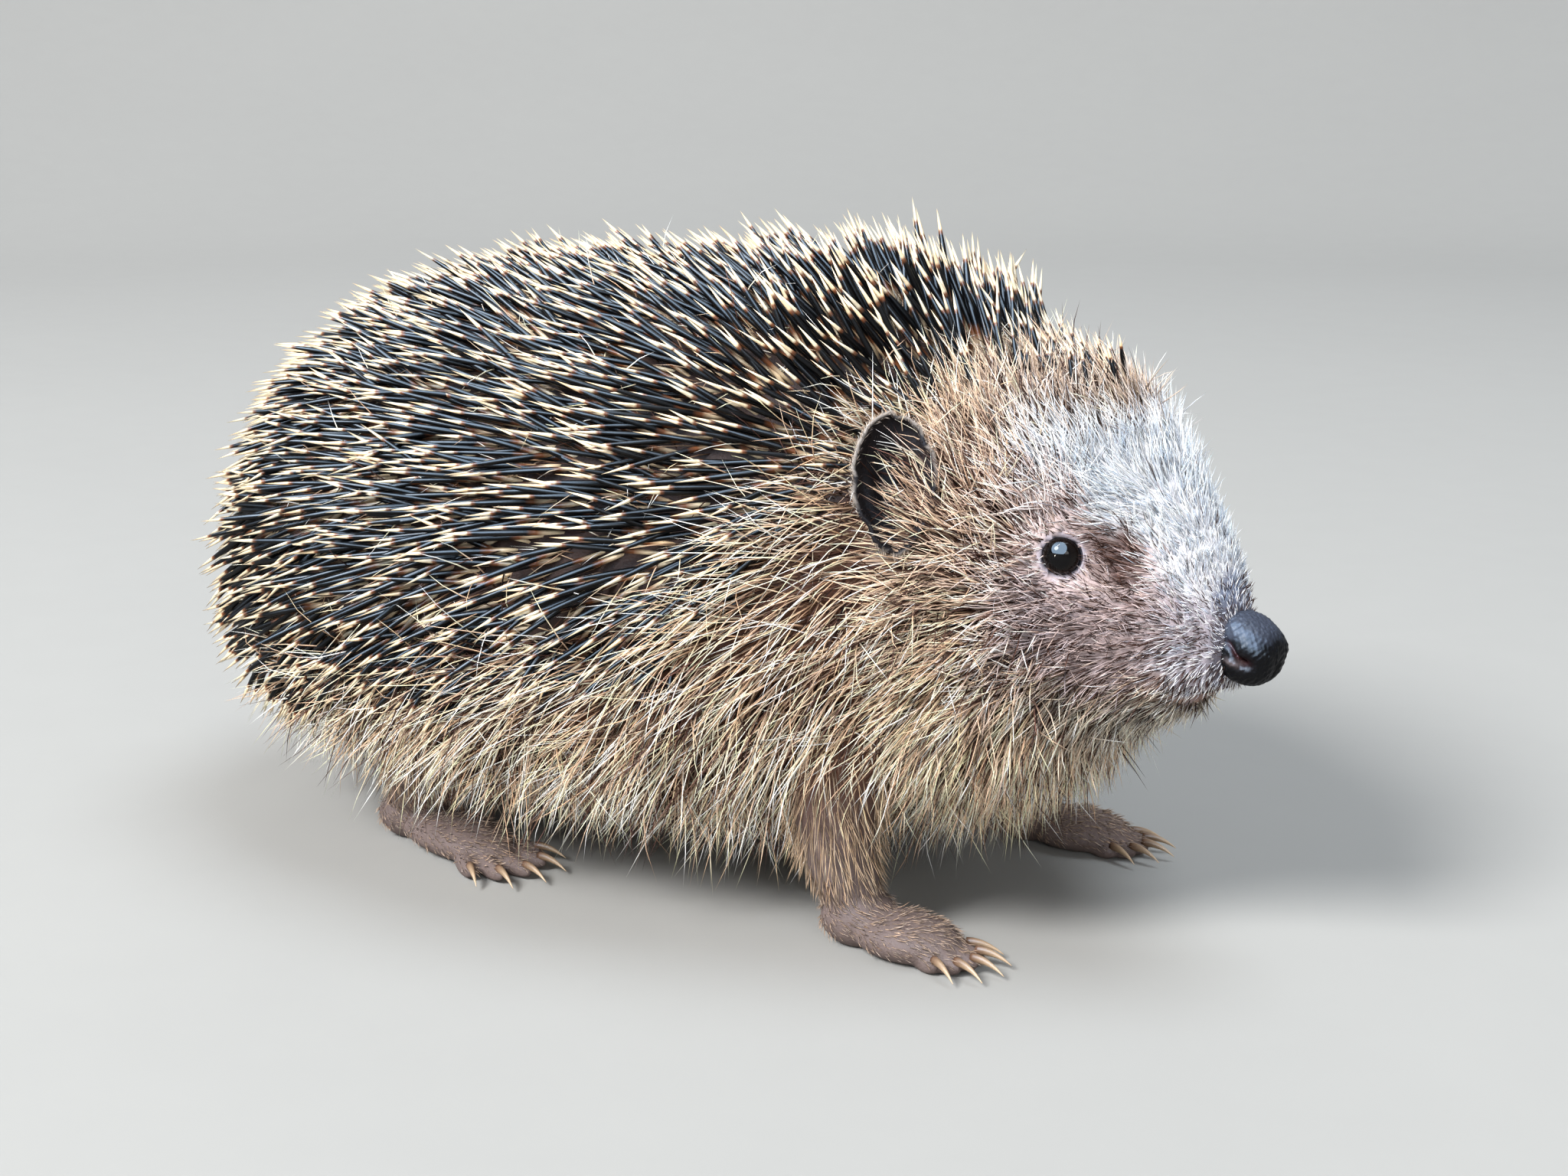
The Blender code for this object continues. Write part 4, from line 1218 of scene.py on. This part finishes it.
def build_claws(context):
    """Twenty curved claws, each a tapering horn bent down to just above the floor."""
    t = np.linspace(0, 1, CLAW_ROWS)[:, None, None]
    around = full_turn(CLAW_COLUMNS)[None, :, None]
    up = np.array([0, 0, 1])
    thick = CLAW_THICK * (1 - 0.93 * t ** 1.4)
    grids = []
    for limb in LIMBS:
        for _, sign in SIDES:
            for root, heading, reach in toe_rays(limb, sign):
                way = ray(heading)
                across = np.cross(up, way)
                start = root + up * CLAW_HEIGHT + way * reach * (TOE_MIDDLE + TOE_HALF * CLAW_START)
                run = CLAW_RUN * (1 - 0.04 * t)
                centre = start + way * run * t + up * (CLAW_RISE * t - CLAW_FALL * t * t)
                grids.append(centre + thick * (0.85 * np.cos(around) * across + np.sin(around) * up))
    along = np.concatenate([np.repeat(t.ravel(), CLAW_COLUMNS), [0, 1]])
    count = len(grids)
    pieces = [outward(closed_sheet(f"claw_{i}", grid * MM, ((0, i / count), (1, (i + 0.9) / count)),
                                   attributes={"along": along}))
              for i, grid in enumerate(grids)]
    claws = joined(pieces, "claws")
    dressed(claws, claw_material())
    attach(claws, "root")
    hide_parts(*[f"claw_{limb}_{side}_{i}" for limb in ("front", "hind")
                         for side in ("right", "left") for i in range(1, TOES + 1)])


# ---- The coat -------------------------------------------------------------------------------
class Hair(typing.NamedTuple):
    """One kind of hair: its pieces, and how each hair grows. Its own numbers are drawn evenly
    from the ranges, or spread round the mean."""
    pieces: int
    root_seed: int
    grow_seed: int
    gap: float                  # the room that most roots keep, in millimetres
    depth: float                # how far a root lies inside the skin, in millimetres
    sides: int
    profile: tuple              # thickness at each ring, from root to tip
    lift: float                 # mean angle from the skin, in degrees, and its spread
    lift_spread: float
    lengths: tuple
    widths: tuple


FINE_PROFILE = (0.9, 1.0, 0.7)
SPINES = Hair(3, 21, 40, 2.3, 0.8, 5, (0.45, 0.82, 1.0, 1.0, 0.88, 0.52), 24, 5, (0.86, 1.06), (0.85, 1.12))
COARSE = Hair(4, 22, 60, 0.95, 0.4, 3, (0.85, 1.0, 0.85, 0.55), 21, 12, (0.62, 1.08), (0.7, 1.15))
FACE = Hair(3, 23, 80, 0.40, 0.2, 3, FINE_PROFILE, 16, 9, (0.65, 1.05), (0.75, 1.15))
LIMB = Hair(1, 24, 100, 0.34, 0.2, 3, FINE_PROFILE, 20, 7, (0.7, 1.1), (0.8, 1.2))
EAR = Hair(1, 25, 110, 0.28, 0.1, 3, FINE_PROFILE, 24, 9, (0.6, 1.1), (0.8, 1.2))
ROOT_WARMTH = np.array([1.0, 0.76, 0.62])       # the hue of the painted shade at a hair's root: browner than its tip
DARK_BROWN = srgb(70, 49, 42)
NEIGHBOURS_ALIKE = 0.55         # how much of the spread of brightness neighbours share
WARMTH_SPREAD = 0.05
HIGHEST_TINT = 0.93
TOE_HAIR = srgb(172, 152, 136)
EAR_INSIDE_HAIR, EAR_RIM_HAIR = srgb(66, 56, 52), srgb(196, 184, 172)
EAR_HAIR_FINER = 0.75
HAIR_LENGTHS = (                # share of the length; lengths above, beside and below, millimetres
    (0.690, 24.0, 24.0, 24.0), (0.790, 15.0, 15.0, 18.0), (0.835, 12.0, 9.5, 15.0),
    (0.870, 9.5, 5.8, 10.5), (0.900, 7.0, 4.6, 7.5), (0.930, 5.0, 3.8, 5.0), (0.950, 3.2, 2.8, 3.2),
    (0.960, 2.4, 2.0, 2.6),
)


def strands(kind, count, weigh):
    """A kind's pieces one by one: number, random numbers and roots."""
    roots = scatter(SKIN["arrays"], count, weigh, kind.root_seed, kind.gap * MM)
    for number, part in enumerate(share_out(roots, kind.pieces), 1):
        yield number, np.random.default_rng(kind.grow_seed + number), part


def hair_tint(rng, points, base, root_shade, tip_shade, spread, dark=None, cool=0.0):
    """Each hair's colour from root to tip: its root darker and browner, painted shade of the coat over it,
    its tip paler; each hair a little lighter or darker, warmer or greyer than its neighbours, and some
    dark brown. root_shade is one number, or one for each hair: the depth of the painted shade at the
    root; cool is how far roots keep the hair's own hue."""
    count = len(points)
    locks = ripple(points, 3.2 * MM, 77)[:, 0] * NEIGHBOURS_ALIKE * spread
    bright = np.exp(rng.normal(0, spread, count) + locks)[:, None]
    warm = rng.normal(0, WARMTH_SPREAD, count)[:, None] * np.array([1.0, 0.1, -1.0])
    own = base * bright * (1 + warm)
    if dark is not None:
        picked = rng.uniform(0, 1, count) < dark
        own = np.where(picked[:, None], DARK_BROWN * bright, own)

    def along(at):
        """The tint at shares of a hair: its own colour times a shade that rises from root to tip."""
        rise = smooth(at, 0.10, 0.85)[None, :, None]
        own_hue = np.reshape(np.maximum(root_shade, cool), (-1, 1, 1))
        root = np.reshape(root_shade, (-1, 1, 1)) * (ROOT_WARMTH + (1 - ROOT_WARMTH) * own_hue)
        return np.clip(own[:, None] * (root + (tip_shade - root) * rise), 0, HIGHEST_TINT)
    return along


def coat_length(points):
    """The hair's length at each point of the head and the body: by its share of the length, above,
    beside or below; shorter on belly and rump, round the eyes and in front of the ears."""
    share, level = share_and_level(points)
    knots = np.array(HAIR_LENGTHS)
    above, beside, below = (np.interp(share, knots[:, 0], knots[:, i]) * MM for i in (1, 2, 3))
    length = beside + (above - beside) * smooth(level, 0.60, 0.69)
    length = length + (below - length) * smooth(level, 0.45, 0.40)
    length *= 1 - 0.25 * smooth(level, 0.30, 0.12) * smooth(share, 0.75, 0.6)
    length *= 1 - 0.35 * smooth(share, 0.35, 0.10)
    for name, sign in SIDES:
        middle, radius, _ = eye_place(name, sign)
        away = np.linalg.norm(points - middle, axis=1) - radius
        length *= 1 - 0.50 * smooth(away, 5.5 * MM, 2.0 * MM)
        middle, turn, across, _ = ear_frame(name, sign)
        before = np.linalg.norm(points - middle - turn @ np.array([1.6 * across, 0, 0]), axis=1)
        length *= 1 - 0.68 * bell(before / (10 * MM))
    return length


def ear_clear(points):
    """1 away from the ears, 0 in the place that each ear's bowl covers."""
    clear = np.ones(len(points))
    for name, sign in SIDES:
        local, reach = ear_local(points, name, sign)
        inner = -sign * local[:, 1] / (7 * MM)              # 1 at the edge that faces the eye
        inside = smooth(reach, 1.05, 0.9) * smooth(np.abs(local[:, 0]), 8 * MM, 6 * MM)
        clear *= 1 - inside * smooth(inner, 1.0, 0.76)
    return clear


def eye_clear(points):
    """1 away from the eyes, 0 within their lids. It reaches a little further in front, because
    hairs lean back over that edge."""
    clear = np.ones(len(points))
    ahead = head_matrix() @ np.array([0.6 * MM, 0, 0])
    for name, sign in SIDES:
        middle, radius, _ = eye_place(name, sign)
        away = np.linalg.norm(points - middle - ahead, axis=1) - radius
        clear *= smooth(away, 0.60 * MM, 1.10 * MM)
    return clear


def build_spines(context):
    """The mantle of spines: they fan back from the head, stand up on the crown and droop low
    on the flank and the rump."""
    sizes = context.scene.hedgehog_sizes
    look = spine_material(context.scene.hedgehog_colours)

    def weigh(points, uv):
        """Full above the spines' lower edge, which wavers a little."""
        above = above_spine_edge(*share_and_level(points)) + 0.012 * ripple(points, 9 * MM, 3)[:, 0]
        return smooth(above, -0.004, 0.022) * on_body(uv)

    for number, rng, roots in strands(SPINES, sizes.spine_count, weigh):
        place, normal, _ = roots
        count = len(place)
        share, level = share_and_level(place)
        above = above_spine_edge(share, level)
        crown = smooth(share, 0.60, 0.74) * smooth(level, 0.66, 0.80)
        droop = 0.10 + 0.55 * smooth(above, 0.22, 0.0) + 0.35 * smooth(share, 0.35, 0.08)
        lie = lie_of_coat(place, normal, droop * (1 - crown))
        lift = np.radians(SPINES.lift + 26 * crown + 5 * smooth(level, 0.6, 0.85)
                          + rng.normal(0, SPINES.lift_spread, count))
        thrown = (0.22 + 0.20 * crown) / math.sqrt(2)
        lie = drift(rng, lie + ripple(place, 17 * MM, 45) * 0.15, thrown)
        lie = unit(along_skin(lie, normal))
        first, pull = raised(lie, normal, lift), lie * 0.16
        length = sizes.spine_length * rng.uniform(*SPINES.lengths, count)
        length *= 1 - 0.28 * smooth(above, 0.10, 0.0) - 0.22 * smooth(share, 0.76, 0.85)
        length = above_floor(place, first, pull, length, len(SPINES.profile))
        width = sizes.spine_width * rng.uniform(*SPINES.widths, count) * (1 - 0.2 * smooth(above, 0.08, 0.0))
        shift = rng.normal(0, 0.022, count)[:, None]        # moves a spine's bands along it
        brightness = rng.uniform(0.72, 1.12, count)[:, None]
        warm = rng.normal(0, 0.05, count)[:, None] * np.array([1.0, 0.0, -1.0])
        made = grow(f"spines_{number}", SPINES, roots, first, pull, length, width, look,
                    along=lambda at: np.clip(at[None] + shift * smooth(at[None], 0.0, 0.5), 0, 1),
                    shade=np.clip(brightness * (1 + warm), 0.3, 1.2))


def build_coarse_hair(context):
    """The long coarse hair of neck, flanks, chest and belly: messy, in loose locks, swept back
    and hanging."""
    sizes, colours = context.scene.hedgehog_sizes, context.scene.hedgehog_colours

    def weigh(points, uv):
        """Full below the spines' edge; denser on the neck, thinner on the belly, none on the face."""
        share, level = share_and_level(points)
        behind_ear = bell((share - 0.70) / 0.06)
        below = smooth(above_spine_edge(share, level), 0.075 + 0.06 * behind_ear, -0.02)
        under = 1 - 0.55 * smooth(level, 0.17, 0.10)
        body = smooth(share, 0.88, 0.83) * (1 + 0.5 * smooth(share, 0.5, 0.62))
        return (below + 0.02) * under * body * on_body(uv) * ear_clear(points)

    for number, rng, roots in strands(COARSE, sizes.coarse_count, weigh):
        place, normal, _ = roots
        count = len(place)
        share, level = share_and_level(place)
        droop = 0.30 + 0.75 * smooth(level, 0.50, 0.22) - 0.25 * smooth(share, 0.70, 0.82)
        locks = ripple(place, 11 * MM, 71) * 0.36 + ripple(place, 4.5 * MM, 72) * 0.26
        lie = drift(rng, lie_of_coat(place, normal, droop) + along_skin(locks, normal), 0.42)
        lift = np.radians(COARSE.lift + rng.normal(0, COARSE.lift_spread, count)
                          + 8 * smooth(share, 0.55, 0.72))
        first = raised(lie, normal, lift)
        pull = ripple(place, 7 * MM, 73) * 0.26 + rng.normal(0, 0.32, (count, 3)) + np.array([0, 0, -0.35])
        pull -= normal * 0.10
        length = coat_length(place) * rng.uniform(*COARSE.lengths, count)
        length *= 1 - 0.35 * smooth(above_spine_edge(share, level), 0.02, 0.10)
        length = above_floor(place, first, pull, length, len(COARSE.profile))
        width = sizes.coarse_width * rng.uniform(*COARSE.widths, count)
        near = place + rng.normal(0, 2.0 * MM, place.shape)
        tint = hair_tint(rng, place, markings(near, colours), root_shade=0.12, tip_shade=1.60, spread=0.38,
                         dark=dark_share(near))
        made = grow(f"coarse_hair_{number}", COARSE, roots, first, pull, length, width, hair_material(),
                    tint=tint)


def build_face_hair(context):
    """The short hair of the head: it runs from the nose back over forehead, cheeks and throat."""
    sizes, colours = context.scene.hedgehog_sizes, context.scene.hedgehog_colours

    def weigh(points, uv):
        """The head below the spines, denser towards the nose; bare at eyes, ears, lips and mouth."""
        share, _, height = straight(points)
        head = smooth(share, 0.765, 0.80) * smooth(above_spine_edge(share, height / TALL), 0.05, 0.0)
        below = mouth_height(share) - height
        line = bell(below / (0.9 * MM)) * smooth(share, 0.908, 0.925)
        lip = bell((below - 1.4 * MM) / (1.4 * MM)) * smooth(share, 0.928, 0.940)
        bare = np.clip(line + lip, 0, 1)
        fine = 1 + 1.6 * smooth(share, 0.86, 0.92) + 2.6 * smooth(share, 0.915, 0.94)
        return (head * fine * (1 - bare) * eye_clear(points) * ear_clear(points) * on_body(uv)
                * smooth(share, 0.967, 0.963))

    for number, rng, roots in strands(FACE, sizes.face_count, weigh):
        place, normal, _ = roots
        count = len(place)
        share, level = share_and_level(place)
        droop = 0.10 + 0.3 * smooth(level, 0.47, 0.43) + 0.7 * smooth(level, 0.40, 0.38)
        locks = ripple(place, 6 * MM, 91) * 0.24 + ripple(place, 2.4 * MM, 92) * 0.20
        lie = drift(rng, lie_of_coat(place, normal, droop) + along_skin(locks, normal), 0.20)
        lift = np.radians(FACE.lift + 12 * smooth(share, 0.88, 0.82) + 16 * smooth(level, 0.39, 0.36)
                          + 8 * smooth(share, 0.915, 0.94) + rng.normal(0, FACE.lift_spread, count))
        pull = -normal * 0.22 + rng.normal(0, 0.16, (count, 3))
        length = coat_length(place) * rng.uniform(*FACE.lengths, count)
        wider = 1 + 0.65 * smooth(share, 0.88, 0.82)
        width = sizes.face_width * rng.uniform(*FACE.widths, count) * wider
        near = place + rng.normal(0, 1.1 * MM, place.shape)
        parts = regions(near)
        # Roots under the eye are darker still: painted shade of the lower face.
        root_shade = 0.13 + 0.43 * parts["face"] + 0.12 * parts["muzzle"] - 0.14 * parts["under_eye"]
        root_shade += (0.85 - root_shade) * parts["band"]
        tint = hair_tint(rng, place, markings(near, colours), root_shade, tip_shade=1.18, spread=0.28,
                         dark=dark_share(near), cool=0.80 * parts["face"])
        made = grow(f"face_hair_{number}", FACE, roots, raised(lie, normal, lift), pull, length, width,
                    hair_material(), tint=tint)


def build_limb_hair(context):
    """Hair of legs, feet and tail: long where they leave the body, short and flat on the toes."""
    sizes, colours = context.scene.hedgehog_sizes, context.scene.hedgehog_colours

    def weigh(points, uv):
        """Legs, feet and tail: denser low down, none on the soles."""
        height = points[:, 2]
        low = 1 + 1.4 * smooth(height, 12 * MM, 7 * MM)
        limbs = in_island(uv, "front_right", "front_left", "hind_right", "hind_left", "tail")
        return limbs * smooth(height, 1.6 * MM, 3.0 * MM) * low * (1 - 0.5 * smooth(height / TALL, 0.15, 0.3))

    for _, rng, roots in strands(LIMB, sizes.limb_count, weigh):
        place, normal, _ = roots
        count, height = len(place), place[:, 2]
        ahead = np.array([1.4, 0, 0.7]) * smooth(height, 11 * MM, 6 * MM)[:, None]
        lie = unit(along_skin(np.array([0.25, 0.0, -1.0]) + ahead, normal))
        lie = drift(rng, lie, 0.16)
        first = raised(lie, normal, np.radians(LIMB.lift + rng.normal(0, LIMB.lift_spread, count)))
        length = 2.3 * MM + 6.5 * MM * smooth(height, 6 * MM, 22 * MM)
        length *= rng.uniform(*LIMB.lengths, count)
        room = np.maximum(height - 0.3 * MM, 0.2 * MM) / np.maximum(-first[:, 2], 0.08)
        brown = blend(np.array(colours.belly)[None], TOE_HAIR[None], smooth(height, 16 * MM, 7 * MM))
        tint = hair_tint(rng, place, brown, root_shade=0.40, tip_shade=1.1, spread=0.22, cool=0.7)
        pull = rng.normal(0, 0.08, (count, 3))
        width = sizes.face_width * rng.uniform(*LIMB.widths, count)
        made = grow("limb_hair", LIMB, roots, first, pull, np.minimum(length, room), width, hair_material(),
                    tint=tint)


def build_ear_hair(context):
    """Fine hair of the ears: pale along the rim, sparse and dark inside."""
    sizes = context.scene.hedgehog_sizes

    def weigh(points, uv):
        """Both ears, much denser along the rim."""
        total = np.zeros(len(points))
        for name, sign in SIDES:
            _, reach = ear_local(points, name, sign)
            total += in_island(uv, "ear_" + name) * (0.25 + 1.6 * smooth(reach, 0.86, 0.97))
        return total

    for _, rng, roots in strands(EAR, sizes.ear_count, weigh):
        place, normal, on_map = roots
        count = len(place)
        rim = np.zeros(count)
        lie = np.zeros((count, 3))
        for name, sign in SIDES:
            mine = in_island(on_map, "ear_" + name)
            local, reach = ear_local(place, name, sign)
            turn = ear_frame(name, sign)[1]
            spread = (local * [0, 1, 1] + np.array([2, 0, 4]) * MM) @ turn.T
            lie = np.where(mine[:, None], spread, lie)
            rim = np.where(mine, smooth(reach, 0.88, 0.98), rim)
        lie = drift(rng, unit(along_skin(lie, normal)), 0.25)
        first = raised(lie, normal, np.radians(EAR.lift + rng.normal(0, EAR.lift_spread, count)))
        base = blend(EAR_INSIDE_HAIR[None], EAR_RIM_HAIR[None], rim)
        tint = hair_tint(rng, place, base, root_shade=0.7, tip_shade=1.1, spread=0.2)
        length = (1.5 - 0.5 * rim) * MM * rng.uniform(*EAR.lengths, count)
        pull = rng.normal(0, 0.1, (count, 3))
        width = sizes.face_width * EAR_HAIR_FINER * rng.uniform(*EAR.widths, count)
        made = grow("ear_hair", EAR, roots, first, pull, length, width, hair_material(), tint=tint)


# ---- Stage ----------------------------------------------------------------------------------
CAMERA_AZIMUTH = math.radians(34)
CAMERA_HEIGHT = math.radians(14)
CAMERA_LENS, CAMERA_SENSOR = 52.0, 36.0         # millimetres
CAMERA_NEAR = 0.01
CAMERA_AWAY = 1.892             # its distance, in body lengths
AIM = (0.0388, 0.0, 0.4252)     # where the camera looks, in shares of length from the middle and height
FLOOR_REACH = 2.6
FLOOR_RISE = 0.30               # how high its edge rises as a backdrop, in shares of its reach
FLOOR_RINGS, FLOOR_SPOKES = 40, 96
FLOOR_BELOW = 0.05 * MM         # how far the floor lies below the feet
LIGHTS = (                      # name, place, size across in metres, watts, colour
    ("Key", (-0.44, -1.72, 1.64), 0.90, 98.0, (1.0, 0.99, 0.98)),
    ("Top", (0.40, 0.30, 2.30), 1.4, 36.0, (0.86, 0.93, 1.0)),
    ("Fill", (1.90, -1.50, 0.90), 1.0, 14.5, (1.0, 0.98, 0.95)),
    ("Back", (-1.4, 1.6, 1.0), 1.2, 11.0, (1.0, 0.98, 0.95)),
)
SHEEN = ("Sheen", (0.10, -1.85, 1.95), 4.4, 1500.0, (0.54, 0.75, 1.0))     # seen only in gloss
WORLD_COLOUR = (0.82, 0.86, 0.92, 1)
WORLD_STRENGTH = 0.42


def aim_at(obj, place, target):
    """Puts a lamp or a camera in its place, facing the target."""
    obj.location = place
    obj.rotation_euler = (Vector(target) - Vector(place)).to_track_quat("-Z", "Y").to_euler()


def add_light(target, name, place, size, power, colour):
    """A round area light that faces the target."""
    data = bpy.data.lights.new(name, "AREA")
    data.shape, data.size, data.energy, data.color = "DISK", size, power, colour
    lamp = bpy.data.objects.new(name, data)
    bpy.context.scene.collection.objects.link(lamp)
    aim_at(lamp, place, target)
    return lamp


def build_floor(colours):
    """A round floor that rises gently towards its edge."""
    reach = np.linspace(0, 1, FLOOR_RINGS)[:, None] * FLOOR_REACH
    around = full_turn(FLOOR_SPOKES)[None, :]
    rise = FLOOR_RISE * FLOOR_REACH * smooth(reach, 0.45 * FLOOR_REACH, 1.1 * FLOOR_REACH)
    points = np.stack([reach * np.cos(around), reach * np.sin(around), rise - FLOOR_BELOW + 0 * around], -1)
    quads = sheet_faces(FLOOR_RINGS - 1, FLOOR_SPOKES)[0].reshape(-1, 4)[:, ::-1] + 1
    ring = np.arange(FLOOR_SPOKES)
    middle = np.stack([0 * ring, ring + 1, (ring + 1) % FLOOR_SPOKES + 1], -1)
    flat = np.concatenate([points[0, :1], points[1:].reshape(-1, 3)])
    counts = np.concatenate([np.full(len(quads), 4), np.full(FLOOR_SPOKES, 3)])
    return to_object("floor", flat, np.concatenate([quads.ravel(), middle.ravel()]), counts,
                     look=floor_material(colours))


def build_stage(context):
    """A plain pale floor, soft studio light and the camera."""
    build_floor(context.scene.hedgehog_colours)
    target = (AIM[0] * BODY_LENGTH, AIM[1], AIM[2] * TALL)
    away = CAMERA_AWAY * BODY_LENGTH
    way = (math.sin(CAMERA_AZIMUTH) * math.cos(CAMERA_HEIGHT),
           -math.cos(CAMERA_AZIMUTH) * math.cos(CAMERA_HEIGHT), math.sin(CAMERA_HEIGHT))
    data = bpy.data.cameras.new("Camera")
    data.lens, data.sensor_width, data.clip_start = CAMERA_LENS, CAMERA_SENSOR, CAMERA_NEAR
    camera = bpy.data.objects.new("Camera", data)
    context.scene.collection.objects.link(camera)
    aim_at(camera, tuple(t + away * w for t, w in zip(target, way)), target)
    context.scene.camera = camera
    for light in LIGHTS:
        add_light(target, *light)
    sheen = add_light(target, *SHEEN)
    sheen.visible_diffuse = sheen.visible_camera = False
    world = bpy.data.worlds.new("Studio")
    world.use_nodes = True
    background = world.node_tree.nodes["Background"].inputs
    background["Color"].default_value = WORLD_COLOUR
    background["Strength"].default_value = WORLD_STRENGTH
    context.scene.world = world
    context.scene.view_settings.view_transform = "Standard"


# ---- Operators and panel --------------------------------------------------------------------
class HEDGEHOG_OT_skin(bpy.types.Operator):
    """Builds the one closed skin of head, body, legs, ears, lids and tail"""
    bl_idname = "hedgehog.skin"
    bl_label = "Skin"

    def execute(self, context):
        build_skin(context)
        return {"FINISHED"}


class HEDGEHOG_OT_eyes(bpy.types.Operator):
    """Builds the two bead eyes"""
    bl_idname = "hedgehog.eyes"
    bl_label = "Eyes"

    def execute(self, context):
        build_eyes(context)
        return {"FINISHED"}


class HEDGEHOG_OT_nose(bpy.types.Operator):
    """Builds the nose pad with its nostrils"""
    bl_idname = "hedgehog.nose"
    bl_label = "Nose"

    def execute(self, context):
        build_nose(context)
        return {"FINISHED"}


class HEDGEHOG_OT_claws(bpy.types.Operator):
    """Builds the twenty claws"""
    bl_idname = "hedgehog.claws"
    bl_label = "Claws"

    def execute(self, context):
        build_claws(context)
        return {"FINISHED"}


class HEDGEHOG_OT_spines(bpy.types.Operator):
    """Grows the mantle of spines"""
    bl_idname = "hedgehog.spines"
    bl_label = "Spines"

    def execute(self, context):
        build_spines(context)
        return {"FINISHED"}


class HEDGEHOG_OT_coarse_hair(bpy.types.Operator):
    """Grows the long hair of neck, flanks, chest and belly"""
    bl_idname = "hedgehog.coarse_hair"
    bl_label = "Coarse hair"

    def execute(self, context):
        build_coarse_hair(context)
        return {"FINISHED"}


class HEDGEHOG_OT_face_hair(bpy.types.Operator):
    """Grows the short hair of the head"""
    bl_idname = "hedgehog.face_hair"
    bl_label = "Face hair"

    def execute(self, context):
        build_face_hair(context)
        return {"FINISHED"}


class HEDGEHOG_OT_limb_hair(bpy.types.Operator):
    """Grows the hair of legs, feet and tail"""
    bl_idname = "hedgehog.limb_hair"
    bl_label = "Limb hair"

    def execute(self, context):
        build_limb_hair(context)
        return {"FINISHED"}


class HEDGEHOG_OT_ear_hair(bpy.types.Operator):
    """Grows the fine hair of the ears"""
    bl_idname = "hedgehog.ear_hair"
    bl_label = "Ear hair"

    def execute(self, context):
        build_ear_hair(context)
        return {"FINISHED"}


class HEDGEHOG_OT_stage(bpy.types.Operator):
    """Sets up the floor, the lights and the camera"""
    bl_idname = "hedgehog.stage"
    bl_label = "Stage"

    def execute(self, context):
        build_stage(context)
        return {"FINISHED"}


OPERATORS = (
    HEDGEHOG_OT_skin,
    HEDGEHOG_OT_eyes,
    HEDGEHOG_OT_nose,
    HEDGEHOG_OT_claws,
    HEDGEHOG_OT_spines,
    HEDGEHOG_OT_coarse_hair,
    HEDGEHOG_OT_face_hair,
    HEDGEHOG_OT_limb_hair,
    HEDGEHOG_OT_ear_hair,
    HEDGEHOG_OT_stage,
)


class HEDGEHOG_PT_panel(bpy.types.Panel):
    """Lists the sizes, the colours and the pieces."""
    bl_label = "Hedgehog"
    bl_idname = "HEDGEHOG_PT_panel"
    bl_space_type = "VIEW_3D"
    bl_region_type = "UI"
    bl_category = "Hedgehog"

    def draw(self, context):
        layout = self.layout
        for group in (context.scene.hedgehog_sizes, context.scene.hedgehog_colours):
            box = layout.box()
            for key in group.bl_rna.properties.keys():
                if key not in ("rna_type", "name"):
                    box.prop(group, key)
        for operator in OPERATORS:
            layout.operator(operator.bl_idname)


CLASSES = (HedgehogSizes, HedgehogColours) + OPERATORS + (HEDGEHOG_PT_panel,)


def register():
    """Registers every class, and the settings on the scene."""
    for each in CLASSES:
        bpy.utils.register_class(each)
    bpy.types.Scene.hedgehog_sizes = bpy.props.PointerProperty(type=HedgehogSizes)
    bpy.types.Scene.hedgehog_colours = bpy.props.PointerProperty(type=HedgehogColours)


def unregister():
    """Takes the settings and the classes away again."""
    del bpy.types.Scene.hedgehog_sizes
    del bpy.types.Scene.hedgehog_colours
    for each in reversed(CLASSES):
        bpy.utils.unregister_class(each)


def main():
    """Builds the whole scene."""
    register()
    for operator in OPERATORS:
        getattr(bpy.ops.hedgehog, operator.bl_idname.split(".")[1])()


if __name__ == "__main__":
    main()
